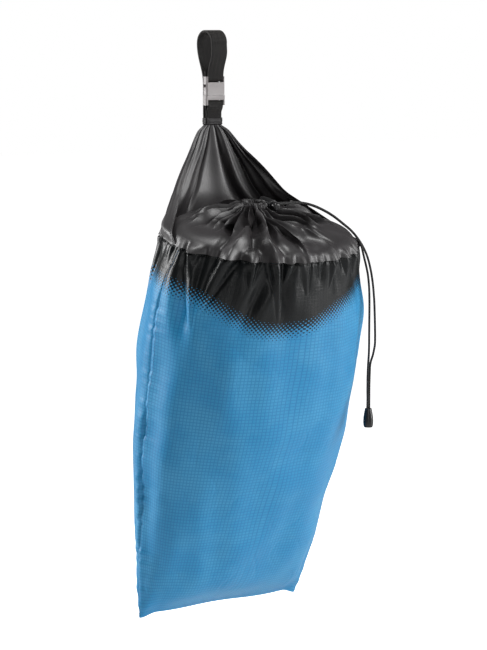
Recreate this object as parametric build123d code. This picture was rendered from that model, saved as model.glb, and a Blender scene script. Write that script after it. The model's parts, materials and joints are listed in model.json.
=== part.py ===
from build123d import *
import math
import os

# Hanging laundry bag, in millimetres. Row frame: +Z up, X across the bag's width, -Y the bag's front,
# origin at the centre of the rail that the webbing loop hangs from.
# The bag itself is built in its own frame: origin at the middle of its mouth seam, -Z down the bag.

# ---- driving dimensions -------------------------------------------------------------------------
WEBBING_WIDTH = 20.0
WEBBING = 1.5                      # thickness of the loop's webbing
STRAP = 1.3                        # thickness of the lighter anchor strap
RAIL_R = 11.5                      # inside radius of the loop's top arc
APEX_Z = -78.0                     # where the straps leave the flap's tip
PATCH_HEIGHT = 7.5

MOUTH_CENTRE = (0.0, -83.0, -201.0)
BAG_TILT = 11.0                    # degrees the hanging bag leans back
WALL = 1.0                         # fabric shell, as thick as the folded, creased cloth stands
SEAM_GAP = 0.2                     # between two panels at their seam

# distance below the mouth seam, half width and half depth of the filled bag
BAG_SECTIONS = [
    (0, 108, 85), (30, 117, 86.5), (70, 124, 87), (120, 125, 87), (215, 123, 77), (286, 117, 60),
    (340, 110, 45), (380, 104.5, 24), (390, 103.3, 13.5), (400, 102, 3),
]
# height above the mouth seam, half width, half depth, centre x, centre y of the gathered collar
COLLAR_SECTIONS = [
    (0.3, 108, 85, 0, 0), (9, 103, 80, 0, 1), (16, 93, 70, -1, 3), (22.5, 71, 53, -3, 7),
    (25.5, 40, 30, -5, 10), (27.3, 16, 15, -5.5, 11),
]
# height above the mouth seam, half width, depth from the free edge to the middle of the back
FLAP_SECTIONS = [
    (0.4, 109.4, 86.4), (9, 107, 76), (20, 91, 60), (36, 71, 42), (57, 52, 25.5), (76, 34.5, 12),
    (84, 27.5, 7), (92, 20, 3.6), (97, 10.5, 1.5), (103.5, 10.2, 1.3),
]
FLAP_SHEET = 0.8
FLAP_BACK_Y = 86.4                 # middle of the flap's back at the mouth seam
FLAP_BACK_LEAN = 0.179             # how far it moves back per millimetre of height
FOLD_Z = -127.0                    # where the flap folds, with a soft strip either side
FOLD_HALF_STRIP = 12.0

GATHER = (-5.5, 11.0)              # middle of the drawn mouth
TUNNEL_R = 12.5
TUNNEL_HOLE_R = 7.0
TUNNEL_BOTTOM = 27.6
TUNNEL_TOP = 38.5
CORD = 2.4
CORD_SPACING = 2.7                 # between the two strands where they lie side by side
CORD_Z = 34.0
CORD_RING_R = 10.2
RING_OPENING = 12.0                # half of the gap in the ring where the cord leaves it, in degrees
CORD_STRAIGHT_END = 50.0
CORD_CHANNEL_GAP = 0.2
CORD_ARCH = [(62, 6, 33.5), (73, -4, 30), (82, -17, 24), (89.5, -30, 16)]  # middle of the strands

LOCK_X = 13.8
LOCK_R = 6.0
LOCK_FRONT = 3.5
LOCK_BACK = 22.5
LOCK_BORE_R = 4.2
LOCK_FLOOR = 1.5
LOCK_EDGE = 0.8
PLUNGER_R = 4.0
PLUNGER_CAP_R = 4.8
PLUNGER_CAP_FRONT = -4.0
PLUNGER_CAP_BACK = 0.2
PLUNGER_END = 14.7
PLUNGER_TRAVEL = 3.0
SPRING_WIRE = 0.5
SPRING_R = 2.6
SPRING_TURNS = 4

SHOULDER = (96.0, -42.0, 6.0)      # where the cords tip over the mouth seam, in the bag's frame
SHOULDER_SLOPE = (0.35, -0.60, -0.72)  # which way they run there
SHOULDER_BEND = 3.0                # length of the bend between the part that lies and the part that hangs
ACROSS = (0.62, 0.78)              # from one strand to the other there
TAIL_ARCH = [(101, -128.2, -215), (106, -130.5, -236), (109.5, -131, -275), (110.5, -129.5, -325)]
TAIL_BOW = (0.5, 1.6, 3.2, 3.4)    # how far the outer strand bows away at each of those places
TAIL_END = (109.5, -127.0, -384.0)  # where they enter the cord end, both in the row frame
CAP_LENGTH = 20.0
CAP_R = 5.3
CAP_NECK_R = 3.5
CAP_BORE_R = 2.8
KNOT_R = 3.1
KNOT_DROP = 3.92                   # middle of the knot below the cords' ends

BUCKLE_HALF = 12.0
BUCKLE_BACK = 0.0
BUCKLE_FRONT = -7.0
BUCKLE_MIDDLE = (BUCKLE_FRONT + BUCKLE_BACK) / 2
HOUSING_TOP = -35.0
HOUSING_BOTTOM = -54.5
HOUSING_SLOT = (-41.0, -37.5)
CAVITY_HALF = 10.0
CAVITY_DEPTH = 4.2
CAVITY_TOP = -42.5
WINDOW = (-49.0, -43.2)
BAR_DEPTH = 3.2
SLOT_HALF = 10.3
PLUG_HALF = 12.5
PLUG_TOP = -54.7
PLUG_SLOT = (-62.3, -59.5)
PLUG_BOTTOM = -65.0
GUIDE_HALF = 1.3
GUIDE_TOP = -45.0
PRONG_PIVOT = (7.0, -57.7)
PRONG_ROOT_R = 1.0
PRONG_DEPTH = 3.4

FOLD_TOP = APEX_Z + 4.6            # the straps bend between here and the flap's tip
BACK_LEG_Y = 1.75
BACK_LEG_BEND_END = -44.0          # height below which the loop's back leg hangs straight
STRAP_FRONT_Y = -6.0
STRAP_REAR_Y = -1.0
LAYER_FRONT_Y = -3.35              # middle of each strap layer inside the tip's patch
LAYER_REAR_Y = -1.85
LAYER_LOOP_Y = 1.55
PATCH_Y = (-4.7, 2.9)
PATCH_SHEET = 0.6
PATCH_HALF = 11.4
MOULD_CORNER = 1.6                 # rounding of the buckle's upright edges
CLEARANCE = 0.2                    # round parts that slide or sit in one another

THREAD_R = 0.3
THREAD_STANDOFF = THREAD_R + 0.15
SEAM_FLARE = 0.6                   # the bag is this much wider at the thread under the mouth seam
COLLAR_THREAD_DEPTH = 1.6
BOTTOM_THREAD_DEPTH = 395.0
HEM_THREAD_TURN = 14.0             # degrees round from the flap's free edge
BOX_STITCH = (9.0, 2.4)            # half width and half height of the stitched box on the patch
TACK_HALF = 8.0

BEYOND = 300.0                     # reach of a cutting block that ends outside the part

bag_frame = Location(MOUTH_CENTRE, (BAG_TILT, 0, 0))
cross_section = Plane.YZ           # sketches in it read (y, z) and are extruded along x


# ---- small helpers ------------------------------------------------------------------------------
def block(x, y, z):
    """A box from three (low, high) pairs."""
    size = [high - low for low, high in (x, y, z)]
    middle = [(high + low) / 2 for low, high in (x, y, z)]
    return Pos(*middle) * Box(*size)


def ellipse_loft(sections, ruled=False):
    """A solid through ellipses given as (height, half width, half depth, centre x, centre y)."""
    faces = [Pos(cx, cy, height) * Ellipse(a, b) for height, a, b, cx, cy in sections]
    return loft(faces, ruled=ruled)


def band(path, thickness, width=WEBBING_WIDTH):
    """Flat webbing that follows a path drawn in the (y, z) plane."""
    face = trace(path, line_width=thickness)
    return extrude(cross_section * face, amount=width / 2, both=True)


def group(shapes):
    """Separate solids kept together in one node."""
    return Compound([solid for shape in shapes for solid in shape.solids()])


def strand(path, radius=CORD / 2):
    """A round cord along a path."""
    start = path @ 0
    section = Plane(origin=start, z_dir=path % 0) * Circle(radius)
    return sweep(section, path=path)


def stitching(path):
    """Sewing thread along a path, six-sided as it lies pressed into the cloth."""
    section = Plane(origin=path @ 0, z_dir=path % 0) * RegularPolygon(THREAD_R, 6)
    return sweep(section, path=path)


def in_row(shape):
    """A shape drawn in the bag's frame, placed in the row's frame."""
    return bag_frame * shape


def row_point(point):
    """A point of the bag's frame, in the row's frame."""
    place = bag_frame * Pos(*point)
    return tuple(place.position)


def row_direction(direction):
    """A direction of the bag's frame, in the row's frame."""
    return tuple(a - b for a, b in zip(row_point(direction), MOUTH_CENTRE))


# ---- the bag ------------------------------------------------------------------------------------
def body_shell():
    outer = [(-s, a, b, 0, 0) for s, a, b in BAG_SECTIONS]
    inner = [(-s, a - WALL, b - WALL, 0, 0) for s, a, b in BAG_SECTIONS[:-1]]
    lining_end = BAG_SECTIONS[-1][0] - 4 * WALL
    inner.append((-lining_end, BAG_SECTIONS[-1][1] - WALL, BAG_SECTIONS[-1][2] / 2, 0, 0))
    above_mouth = 2 * WALL
    cavity = ellipse_loft([(above_mouth,) + inner[0][1:]] + inner[1:])
    return ellipse_loft(outer) - cavity


def body_panels():
    shell = body_shell()
    half = SEAM_GAP / 2
    wide = (-BEYOND, BEYOND)
    tall = (-2 * BEYOND, BEYOND)
    front = shell & block(wide, (-BEYOND, -half), tall)
    back = shell & block(wide, (half, BEYOND), tall)
    return front, back


def mouth_collar():
    """The satin dome between the mouth seam and the gathered neck."""
    outer = ellipse_loft(COLLAR_SECTIONS)
    inner = [(h - WALL, a - 1.2 * WALL, b - 1.2 * WALL, x, y) for h, a, b, x, y in COLLAR_SECTIONS]
    neck = Pos(*GATHER, TUNNEL_BOTTOM) * Cylinder(TUNNEL_HOLE_R, 6 * WALL)
    return outer - ellipse_loft(inner) - neck


def cord_tunnel():
    """The hem at the mouth, drawn up to a short neck, with the channel that the cord runs in."""
    middle = (TUNNEL_BOTTOM + TUNNEL_TOP) / 2
    height = TUNNEL_TOP - TUNNEL_BOTTOM
    neck = Cylinder(TUNNEL_R, height) - Cylinder(TUNNEL_HOLE_R, height)
    neck = Pos(*GATHER, middle) * neck
    room = CORD / 2 + CORD_CHANNEL_GAP
    channel = Pos(*GATHER, CORD_Z) * Torus(CORD_RING_R, room)
    pair = CORD_SPACING / 2 + room
    gx, gy = GATHER
    height_of_eyelet = (CORD_Z - room, CORD_Z + room)
    eyelet = block((gx + CORD_RING_R, gx + 2 * TUNNEL_R), (gy - pair, gy + pair), height_of_eyelet)
    return neck - channel - eyelet


def flap_points():
    """Height, half width, depth and free-edge y of each flap section."""
    rows = []
    for height, half_width, depth in FLAP_SECTIONS:
        back = FLAP_BACK_Y + FLAP_BACK_LEAN * height
        rows.append((height, half_width, depth, back - depth))
    return rows


def hanging_flap():
    """A curved sheet from the back of the mouth up to the tip, open to the front."""
    rows = flap_points()
    outer = ellipse_loft([(h, a, b, 0, y) for h, a, b, y in rows], ruled=True)
    thin = FLAP_SHEET
    inner = ellipse_loft([(h, a - thin, b - thin, 0, y) for h, a, b, y in rows], ruled=True)
    edge = [(y, h) for h, a, b, y in rows]
    outline = edge + [(BEYOND, rows[-1][0]), (BEYOND, rows[0][0]), edge[0]]
    keep = extrude(cross_section * make_face(Polyline(*outline)), amount=BEYOND, both=True)
    return in_row((outer - inner) & keep)


def flap_pieces():
    flap = hanging_flap()
    gap = SEAM_GAP / 2
    low = FOLD_Z - FOLD_HALF_STRIP
    high = FOLD_Z + FOLD_HALF_STRIP
    wide = (-BEYOND, BEYOND)
    base = flap & block(wide, wide, (-BEYOND, low - gap))
    fold = flap & block(wide, wide, (low + gap, high - gap))
    tip = flap & block(wide, wide, (high + gap, 0))
    return base, fold, tip


# ---- the loop, its buckle and the straps at the flap's tip ---------------------------------------
def loop_webbing():
    middle = RAIL_R + WEBBING / 2
    arc = CenterArc((0, 0), middle, 0, 180)
    bend_end = (BACK_LEG_Y, BACK_LEG_BEND_END)
    bend = Spline((middle, 0), bend_end, tangents=((0, -1), (0, -1)))
    leg = Line(bend_end, (BACK_LEG_Y, FOLD_TOP))
    return band(arc + bend + leg, WEBBING)


def front_leg_path():
    """Down the front, in front of the housing's bar, round it and up behind."""
    middle = RAIL_R + WEBBING / 2
    around = (BAR_DEPTH + WEBBING) / 2 + 0.2
    top = (BUCKLE_MIDDLE - around, HOUSING_SLOT[1] + 0.3)
    down = Spline((-middle, -0.2), (-middle - 0.5, -9), top, tangents=((0, -1), (0, -1)))
    turn_end = (BUCKLE_MIDDLE + around, top[1])
    turn = ThreePointArc(top, (BUCKLE_MIDDLE, top[1] - 2.1), turn_end)
    rise = Line(turn_end, (turn_end[0], HOUSING_TOP + 6))
    return down + turn + rise


def loop_front_leg():
    return band(front_leg_path(), WEBBING)


def anchor_strap():
    """Through the plug's slot, over its bar, and both layers down to the flap's tip."""
    turn_start = (STRAP_FRONT_Y, PLUG_SLOT[0] + 0.3)
    turn_top = (BUCKLE_MIDDLE, PLUG_SLOT[0] + 1.7)
    turn_end = (STRAP_REAR_Y, turn_start[1])
    under = PLUG_BOTTOM - 0.3
    front_low = (STRAP_FRONT_Y, under)
    rear_low = (STRAP_REAR_Y, under)
    front = Spline((LAYER_FRONT_Y, FOLD_TOP), front_low, tangents=((0, 1), (0, 1)))
    front_side = Line(front_low, turn_start)
    turn = ThreePointArc(turn_start, turn_top, turn_end)
    rear_side = Line(turn_end, rear_low)
    rear = Spline(rear_low, (LAYER_REAR_Y, FOLD_TOP), tangents=((0, -1), (0, -1)))
    return band(front + front_side + turn + rear_side + rear, STRAP)


def strap_layers(low, high):
    """The three strap layers between two heights at the flap's tip, as straight strips."""
    strips = []
    wide = (-WEBBING_WIDTH / 2, WEBBING_WIDTH / 2)
    for y, thickness in ((LAYER_FRONT_Y, STRAP), (LAYER_REAR_Y, STRAP), (LAYER_LOOP_Y, WEBBING)):
        strips.append(block(wide, (y - thickness / 2, y + thickness / 2), (low, high)))
    return group(strips)


def apex_patch():
    """The folded tip of the flap, a flat sleeve round the strap ends."""
    z = (APEX_Z - PATCH_HEIGHT, APEX_Z)
    sleeve = block((-PATCH_HALF, PATCH_HALF), PATCH_Y, z)
    inside = (PATCH_Y[0] + PATCH_SHEET, PATCH_Y[1] - PATCH_SHEET)
    room = PATCH_HALF - PATCH_SHEET
    return sleeve - block((-room, room), inside, (z[0] - 1, z[1] + 1))


def rounded_block(half_width, bottom, top):
    """A block of the buckle's depth with its upright edges rounded."""
    body = block((-half_width, half_width), (BUCKLE_FRONT, BUCKLE_BACK), (bottom, top))
    return fillet(body.edges().filter_by(Axis.Z), MOULD_CORNER)


def buckle_housing():
    outside = rounded_block(BUCKLE_HALF, HOUSING_BOTTOM, HOUSING_TOP)
    half_cavity = CAVITY_DEPTH / 2
    depth = (BUCKLE_MIDDLE - half_cavity, BUCKLE_MIDDLE + half_cavity)
    cavity = block((-CAVITY_HALF, CAVITY_HALF), depth, (HOUSING_BOTTOM - 1, CAVITY_TOP))
    windows = block((-2 * BUCKLE_HALF, 2 * BUCKLE_HALF), depth, WINDOW)
    through = (BUCKLE_FRONT - 1, BUCKLE_BACK + 1)
    slot = block((-SLOT_HALF, SLOT_HALF), through, HOUSING_SLOT)
    bar = (BUCKLE_MIDDLE - BAR_DEPTH / 2, BUCKLE_MIDDLE + BAR_DEPTH / 2)
    above = (HOUSING_SLOT[1] - 1, HOUSING_TOP + 1)
    front_relief = block((-SLOT_HALF, SLOT_HALF), (through[0], bar[0]), above)
    back_relief = block((-SLOT_HALF, SLOT_HALF), (bar[1], through[1]), above)
    return outside - cavity - windows - slot - front_relief - back_relief


def buckle_plug():
    outside = rounded_block(PLUG_HALF, PLUG_BOTTOM, PLUG_TOP)
    through = (BUCKLE_FRONT - 1, BUCKLE_BACK + 1)
    slot = block((-SLOT_HALF, SLOT_HALF), through, PLUG_SLOT)
    bar = (BUCKLE_MIDDLE - BAR_DEPTH / 2, BUCKLE_MIDDLE + BAR_DEPTH / 2)
    below = PLUG_BOTTOM - 1
    front_relief = block((-SLOT_HALF, SLOT_HALF), (through[0], bar[0]), (below, PLUG_SLOT[0] + 1))
    back_relief = block((-SLOT_HALF, SLOT_HALF), (bar[1], through[1]), (below, PLUG_SLOT[0] + 1))
    plug = outside - slot - front_relief - back_relief
    room = PRONG_DEPTH / 2 + CLEARANCE
    x, z = PRONG_PIVOT
    for side in (-1, 1):
        ends = sorted((side * (x - 2.0), side * (x + 1.4)))
        plug -= block(ends, (BUCKLE_MIDDLE - room, BUCKLE_MIDDLE + room), (z - 1.2, PLUG_TOP + 1))
    guide_depth = (BUCKLE_MIDDLE - PRONG_DEPTH / 2, BUCKLE_MIDDLE + PRONG_DEPTH / 2)
    return plug + block((-GUIDE_HALF, GUIDE_HALF), guide_depth, (PLUG_TOP - 1, GUIDE_TOP))


def prong(side):
    """A springy arm with a barb, on a round root in the plug's pocket."""
    x, z = PRONG_PIVOT
    outline = [
        (x - 0.8, z), (x - 0.8, -44.6), (x, -43.6), (x + 1.4, -43.6), (x + 5.2, -46.9),
        (x + 5.2, -48.8), (x + 2.0, -48.8), (x + 0.8, -50.4), (x + 0.8, z),
    ]
    points = [(side * px, pz) for px, pz in outline]
    arm = make_face(Polyline(*points, points[0]))
    profile = Plane.XZ * (arm + Pos(side * x, z) * Circle(PRONG_ROOT_R))
    return Pos(0, BUCKLE_MIDDLE, 0) * extrude(profile, amount=PRONG_DEPTH / 2, both=True)


# ---- the drawcord and its lock -------------------------------------------------------------------
def drawcord_ring():
    ring = CenterArc((0, 0, 0), CORD_RING_R, RING_OPENING, 360 - 2 * RING_OPENING)
    return Pos(*GATHER, CORD_Z) * strand(Edge(ring.wrapped))


def run_path(side):
    """One strand: straight from the eyelet, then over the collar to the mouth seam."""
    gx, gy = GATHER
    offset = side * CORD_SPACING / 2
    start = (gx + TUNNEL_R - 1, gy + offset, CORD_Z)
    straight_end = (CORD_STRAIGHT_END, gy + offset, CORD_Z)
    across_x, across_y = ACROSS
    middle_points = CORD_ARCH + [SHOULDER]
    points = [(x + offset * across_x, y + offset * across_y, z) for x, y, z in middle_points]
    line = Line(start, straight_end)
    bend = Spline(straight_end, *points, tangents=((1, 0, 0), SHOULDER_SLOPE))
    return Wire([line, bend])


def drawcord_run():
    return in_row(group(strand(run_path(side)) for side in (-1, 1)))


def tail_path(side):
    """One hanging strand; the outer one bows a little away from the other."""
    offset = side * CORD_SPACING / 2
    slope = row_direction(SHOULDER_SLOPE)
    top = [at + SHOULDER_BEND * step for at, step in zip(row_point(SHOULDER), slope)]
    points = [(top[0] + offset * ACROSS[0], top[1] + offset * ACROSS[1], top[2])]
    for (x, y, z), bow in zip(TAIL_ARCH, TAIL_BOW):
        outward = bow if side > 0 else -0.4 * bow
        points.append((x + offset + outward, y, z))
    end_x, end_y, end_z = TAIL_END
    points.append((end_x + offset, end_y, end_z))
    return Spline(*points, tangents=(slope, (0, 0, -1)))


def drawcord_tails():
    return group(strand(tail_path(side)) for side in (-1, 1))


def cord_end_cap():
    """A bell over the two cord ends, open below."""
    top = TAIL_END[2] + 2.0
    bottom = top - CAP_LENGTH
    lip = CAP_R - 0.9
    widest = (CAP_R, top - 0.62 * CAP_LENGTH)
    outline = Spline((CAP_NECK_R, top), widest, (lip, bottom), tangents=((0.2, -1), (-0.4, -1)))
    inside = Polyline(
        (lip, bottom), (lip - 1, bottom), (lip - 0.6, top - 5), (CAP_BORE_R, top - 4),
        (CAP_BORE_R, top), (CAP_NECK_R, top),
    )
    bell = revolve(Plane.XZ * make_face(outline + inside), axis=Axis.Z)
    return Pos(TAIL_END[0], TAIL_END[1], 0) * bell


def cord_knot():
    return Pos(TAIL_END[0], TAIL_END[1], TAIL_END[2] - KNOT_DROP) * Sphere(KNOT_R)


def along_y(shape, y):
    """A shape drawn along +Z, turned to run along +Y of the bag's frame from y."""
    return Pos(LOCK_X, y, CORD_Z) * Rot(-90, 0, 0) * shape


def cord_hole(low, high):
    """The cross hole for the two strands, between two y limits."""
    room = CORD / 2 + 0.25
    return block((LOCK_X - 2 * LOCK_R, LOCK_X + 2 * LOCK_R), (low, high), (CORD_Z - room, CORD_Z + room))


def rod(radius, length):
    return Cylinder(radius, length, align=(Align.CENTER, Align.CENTER, Align.MIN))


def cord_lock_body():
    barrel = rod(LOCK_R, LOCK_BACK - LOCK_FRONT)
    barrel = fillet(barrel.edges().filter_by(GeomType.CIRCLE), LOCK_EDGE)
    bore = rod(LOCK_BORE_R, LOCK_BACK - LOCK_FLOOR - LOCK_FRONT)
    pair = (CORD_SPACING + CORD) / 2 + 0.25
    body = along_y(barrel - bore, LOCK_FRONT) - cord_hole(GATHER[1] - pair, GATHER[1] + pair)
    return in_row(body)


def cord_lock_plunger():
    cap = rod(PLUNGER_CAP_R, PLUNGER_CAP_BACK - PLUNGER_CAP_FRONT)
    cap = fillet(cap.edges().filter_by(GeomType.CIRCLE).sort_by(Axis.Z)[:1], 2.6)
    shaft = rod(PLUNGER_R, PLUNGER_END - PLUNGER_CAP_BACK)
    pair = (CORD_SPACING + CORD) / 2 + 0.15
    plunger = along_y(cap, PLUNGER_CAP_FRONT) + along_y(shaft, PLUNGER_CAP_BACK)
    return in_row(plunger - cord_hole(GATHER[1] - pair - PLUNGER_TRAVEL, GATHER[1] + pair))


def cord_lock_spring():
    room = LOCK_BACK - LOCK_FLOOR - PLUNGER_END
    height = room - SPRING_WIRE - 0.4
    coil = Helix(height / SPRING_TURNS, height, SPRING_R)
    wire = strand(coil, SPRING_WIRE / 2)
    return in_row(along_y(wire, PLUNGER_END + SPRING_WIRE / 2 + 0.2))


# ---- threads -------------------------------------------------------------------------------------
def seam_ring(half_width, half_depth, centre, height):
    loop = Ellipse(half_width + THREAD_STANDOFF, half_depth + THREAD_STANDOFF).face().outer_wire().edge()
    thread = stitching(loop)
    return in_row(Pos(*centre, height) * thread)


def side_seam_threads():
    """One line down each side, from under the mouth seam's thread."""
    limits = block((-BEYOND, BEYOND), (-BEYOND, BEYOND), (-2 * BEYOND, -4 * COLLAR_THREAD_DEPTH))
    threads = []
    for side in (-1, 1):
        points = [(side * (a + 2 * THREAD_STANDOFF), 0, -s) for s, a, b in BAG_SECTIONS[:-3]]
        threads.append(stitching(Spline(*points)) & limits)
    return in_row(group(threads))


def bottom_seam_thread():
    """The line of stitching round the closed bottom edge."""
    (s, a, b), (end_s, end_a, end_b) = BAG_SECTIONS[-2:]
    share = (BOTTOM_THREAD_DEPTH - s) / (end_s - s)
    half_width = a + (end_a - a) * share
    half_depth = b + (end_b - b) * share
    return seam_ring(half_width + THREAD_R, half_depth + THREAD_R, (0, 0), -BOTTOM_THREAD_DEPTH)


def hem_threads(low, high):
    """A line of stitching just inside each free edge of the flap, between two row heights."""
    turn = math.radians(HEM_THREAD_TURN)
    stand = THREAD_STANDOFF + FLAP_SHEET / 2
    limits = block((-BEYOND, BEYOND), (-BEYOND, BEYOND), (low, high))
    threads = []
    for side in (-1, 1):
        points = []
        for h, a, b, y in flap_points()[1:-2]:
            points.append((side * (a + stand) * math.cos(turn), y + (b + stand) * math.sin(turn), h))
        threads.append(in_row(stitching(Spline(*points))) & limits)
    return group(threads)


def apex_stitching():
    """A box of stitching on the front of the tip's patch."""
    y = PATCH_Y[0] - 0.1
    middle = APEX_Z - PATCH_HEIGHT / 2
    line = 2 * THREAD_R
    half_width, half_height = BOX_STITCH
    outer = block((-half_width, half_width), (y - line, y), (middle - half_height, middle + half_height))
    half_width, half_height = half_width - line, half_height - line
    inside = (middle - half_height, middle + half_height)
    return outer - block((-half_width, half_width), (y - 1, y + 1), inside)


def strap_tack():
    """Two short rows that close the anchor strap under the plug."""
    front = STRAP_FRONT_Y - STRAP / 2 - 0.1
    heights = (PLUG_BOTTOM - 1.2, PLUG_BOTTOM - 3.0)
    wide = (-TACK_HALF, TACK_HALF)
    deep = (front - 2 * THREAD_R, front)
    return group(block(wide, deep, (z - THREAD_R, z + THREAD_R)) for z in heights)


# ---- all nodes -----------------------------------------------------------------------------------
def build():
    front_panel, back_panel = body_panels()
    base, fold, tip = flap_pieces()
    fold_low = FOLD_Z - FOLD_HALF_STRIP - 0.5
    fold_high = FOLD_Z + FOLD_HALF_STRIP + 0.5
    mouth = [half + SEAM_FLARE for half in BAG_SECTIONS[0][1:]]
    return {
        "front_panel": in_row(front_panel),
        "back_panel": in_row(back_panel),
        "mouth_collar": in_row(mouth_collar()),
        "cord_tunnel": in_row(cord_tunnel()),
        "hanging_flap_base": base,
        "hanging_flap_fold": fold,
        "hanging_flap_tip": tip,
        "apex_patch": apex_patch(),
        "strap_ends": strap_layers(APEX_Z - PATCH_HEIGHT + 1, APEX_Z - 0.1),
        "strap_fold": strap_layers(APEX_Z + 0.1, FOLD_TOP - 0.2),
        "loop_webbing": loop_webbing(),
        "loop_front_leg": loop_front_leg(),
        "anchor_strap": anchor_strap(),
        "buckle_housing": buckle_housing(),
        "buckle_plug": buckle_plug(),
        "prong_left": prong(-1),
        "prong_right": prong(1),
        "drawcord_ring": in_row(drawcord_ring()),
        "drawcord_run": drawcord_run(),
        "drawcord_tails": drawcord_tails(),
        "cord_lock_body": cord_lock_body(),
        "cord_lock_plunger": cord_lock_plunger(),
        "cord_lock_spring": cord_lock_spring(),
        "cord_end_cap": cord_end_cap(),
        "cord_knot": cord_knot(),
        "side_seam_threads": side_seam_threads(),
        "bottom_seam_thread": bottom_seam_thread(),
        "collar_seam_thread": seam_ring(*mouth, (0, 0), -COLLAR_THREAD_DEPTH),
        "tunnel_thread": seam_ring(TUNNEL_R, TUNNEL_R, GATHER, TUNNEL_BOTTOM + 1.8),
        "flap_base_hem_threads": hem_threads(-400, fold_low),
        "flap_tip_hem_threads": hem_threads(fold_high, 0),
        "apex_stitching": apex_stitching(),
        "strap_tack_stitching": strap_tack(),
    }


os.makedirs("parts", exist_ok=True)
for name, shape in build().items():
    export_step(shape, f"parts/{name}.step")
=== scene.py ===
import json
import math
import bpy
import numpy as np
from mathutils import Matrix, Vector
from mathutils.bvhtree import BVHTree

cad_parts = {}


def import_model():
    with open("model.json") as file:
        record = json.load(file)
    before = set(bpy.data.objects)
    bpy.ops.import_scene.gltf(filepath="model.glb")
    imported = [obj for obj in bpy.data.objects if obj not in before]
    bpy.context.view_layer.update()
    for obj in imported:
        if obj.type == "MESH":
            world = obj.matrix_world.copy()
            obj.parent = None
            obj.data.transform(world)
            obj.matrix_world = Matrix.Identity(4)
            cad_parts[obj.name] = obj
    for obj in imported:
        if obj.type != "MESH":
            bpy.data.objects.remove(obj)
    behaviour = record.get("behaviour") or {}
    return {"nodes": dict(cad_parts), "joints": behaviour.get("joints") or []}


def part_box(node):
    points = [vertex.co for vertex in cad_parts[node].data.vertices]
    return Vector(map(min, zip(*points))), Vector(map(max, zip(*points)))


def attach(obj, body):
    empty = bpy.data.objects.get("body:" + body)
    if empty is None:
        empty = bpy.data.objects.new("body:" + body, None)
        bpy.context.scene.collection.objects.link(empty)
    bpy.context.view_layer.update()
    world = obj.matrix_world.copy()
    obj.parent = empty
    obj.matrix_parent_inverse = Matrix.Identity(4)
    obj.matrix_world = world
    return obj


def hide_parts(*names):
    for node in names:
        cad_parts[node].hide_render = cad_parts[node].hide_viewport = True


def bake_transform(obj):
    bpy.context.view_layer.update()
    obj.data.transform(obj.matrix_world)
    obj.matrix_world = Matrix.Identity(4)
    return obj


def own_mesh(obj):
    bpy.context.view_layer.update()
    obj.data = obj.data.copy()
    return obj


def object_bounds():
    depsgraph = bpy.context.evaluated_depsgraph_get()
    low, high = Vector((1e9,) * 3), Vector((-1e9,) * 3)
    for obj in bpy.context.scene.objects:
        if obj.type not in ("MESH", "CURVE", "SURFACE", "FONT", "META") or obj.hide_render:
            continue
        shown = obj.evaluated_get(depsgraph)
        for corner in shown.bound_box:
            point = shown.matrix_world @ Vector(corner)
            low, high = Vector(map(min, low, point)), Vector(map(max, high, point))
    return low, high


# The looks of a hanging laundry bag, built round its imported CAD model. Metres, in the CAD's frame.
# Soft pieces are built in the bag's own frame: origin at the middle of the mouth seam, z up the bag.

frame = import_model()
cad_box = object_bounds()

MM = 0.001


# ---- places read from the frame -----------------------------------------------------------------
def joint(name):
    return next(j for j in frame["joints"] if j["name"] == name)


def box(name):
    low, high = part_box(name)
    return np.array(low), np.array(high)


def middle(name):
    low, high = box(name)
    return (low + high) / 2


LEAN = joint("plunger_press")["axis"]
BAG_AXES = np.array([[1, 0, 0], [0, LEAN[1], LEAN[2]], [0, -LEAN[2], LEAN[1]]])
MOUTH = middle("collar_seam_thread")
seam_low, seam_high = box("collar_seam_thread")
MOUTH_A = (seam_high[0] - seam_low[0]) / 2
MOUTH_B = (seam_high[1] - seam_low[1]) / 2 / LEAN[1]


def to_row(points):
    return np.asarray(points) @ BAG_AXES + MOUTH


def to_bag(points):
    return (np.asarray(points) - MOUTH) @ BAG_AXES.T


def node_points(name):
    mesh = frame["nodes"][name].data
    co = np.zeros(len(mesh.vertices) * 3)
    mesh.vertices.foreach_get("co", co)
    return co.reshape(-1, 3)


def surface(*names):
    """CAD nodes as one surface to cast rays at, in the bag's frame."""
    verts, faces = [], []
    for name in names:
        start = len(verts)
        verts += [Vector(p) for p in to_bag(node_points(name))]
        faces += [[start + i for i in f.vertices] for f in frame["nodes"][name].data.polygons]
    return BVHTree.FromPolygons(verts, faces)


def hit(tree, origin, direction):
    place = tree.ray_cast(Vector(origin), Vector(direction))[0]
    return None if place is None else np.array(place)


# ---- numbers ------------------------------------------------------------------------------------
def path_run(path):
    """Distance along a path at each of its points."""
    return np.concatenate([[0], np.cumsum(np.linalg.norm(np.diff(path, axis=0), axis=1))])


def smooth(x, low, high):
    t = np.clip((x - low) / (high - low), 0, 1)
    return t * t * (3 - 2 * t)


def bump(x, width):
    return np.exp(-((x / width) ** 2))


def waves(x, y, length, seed, count=10, spread=0.35):
    """A smooth random field of about unit size whose features are about one length apart."""
    rng = np.random.default_rng(seed)
    total = np.zeros(np.broadcast(x, y).shape)
    for _ in range(count):
        angle = rng.uniform(0, 2 * math.pi)
        k = 2 * math.pi / (length * rng.uniform(1 - spread, 1 + spread))
        total += np.sin(k * (x * math.cos(angle) + y * math.sin(angle)) + rng.uniform(0, 2 * math.pi))
    return total / math.sqrt(count)


def blur(values, radius):
    """Running smooth of a 1-D profile, keeping its ends."""
    kernel = np.hanning(2 * radius + 3)[1:-1]
    ends = (np.full(radius, values[0]), values, np.full(radius, values[-1]))
    return np.convolve(np.concatenate(ends), kernel / kernel.sum(), "valid")


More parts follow.
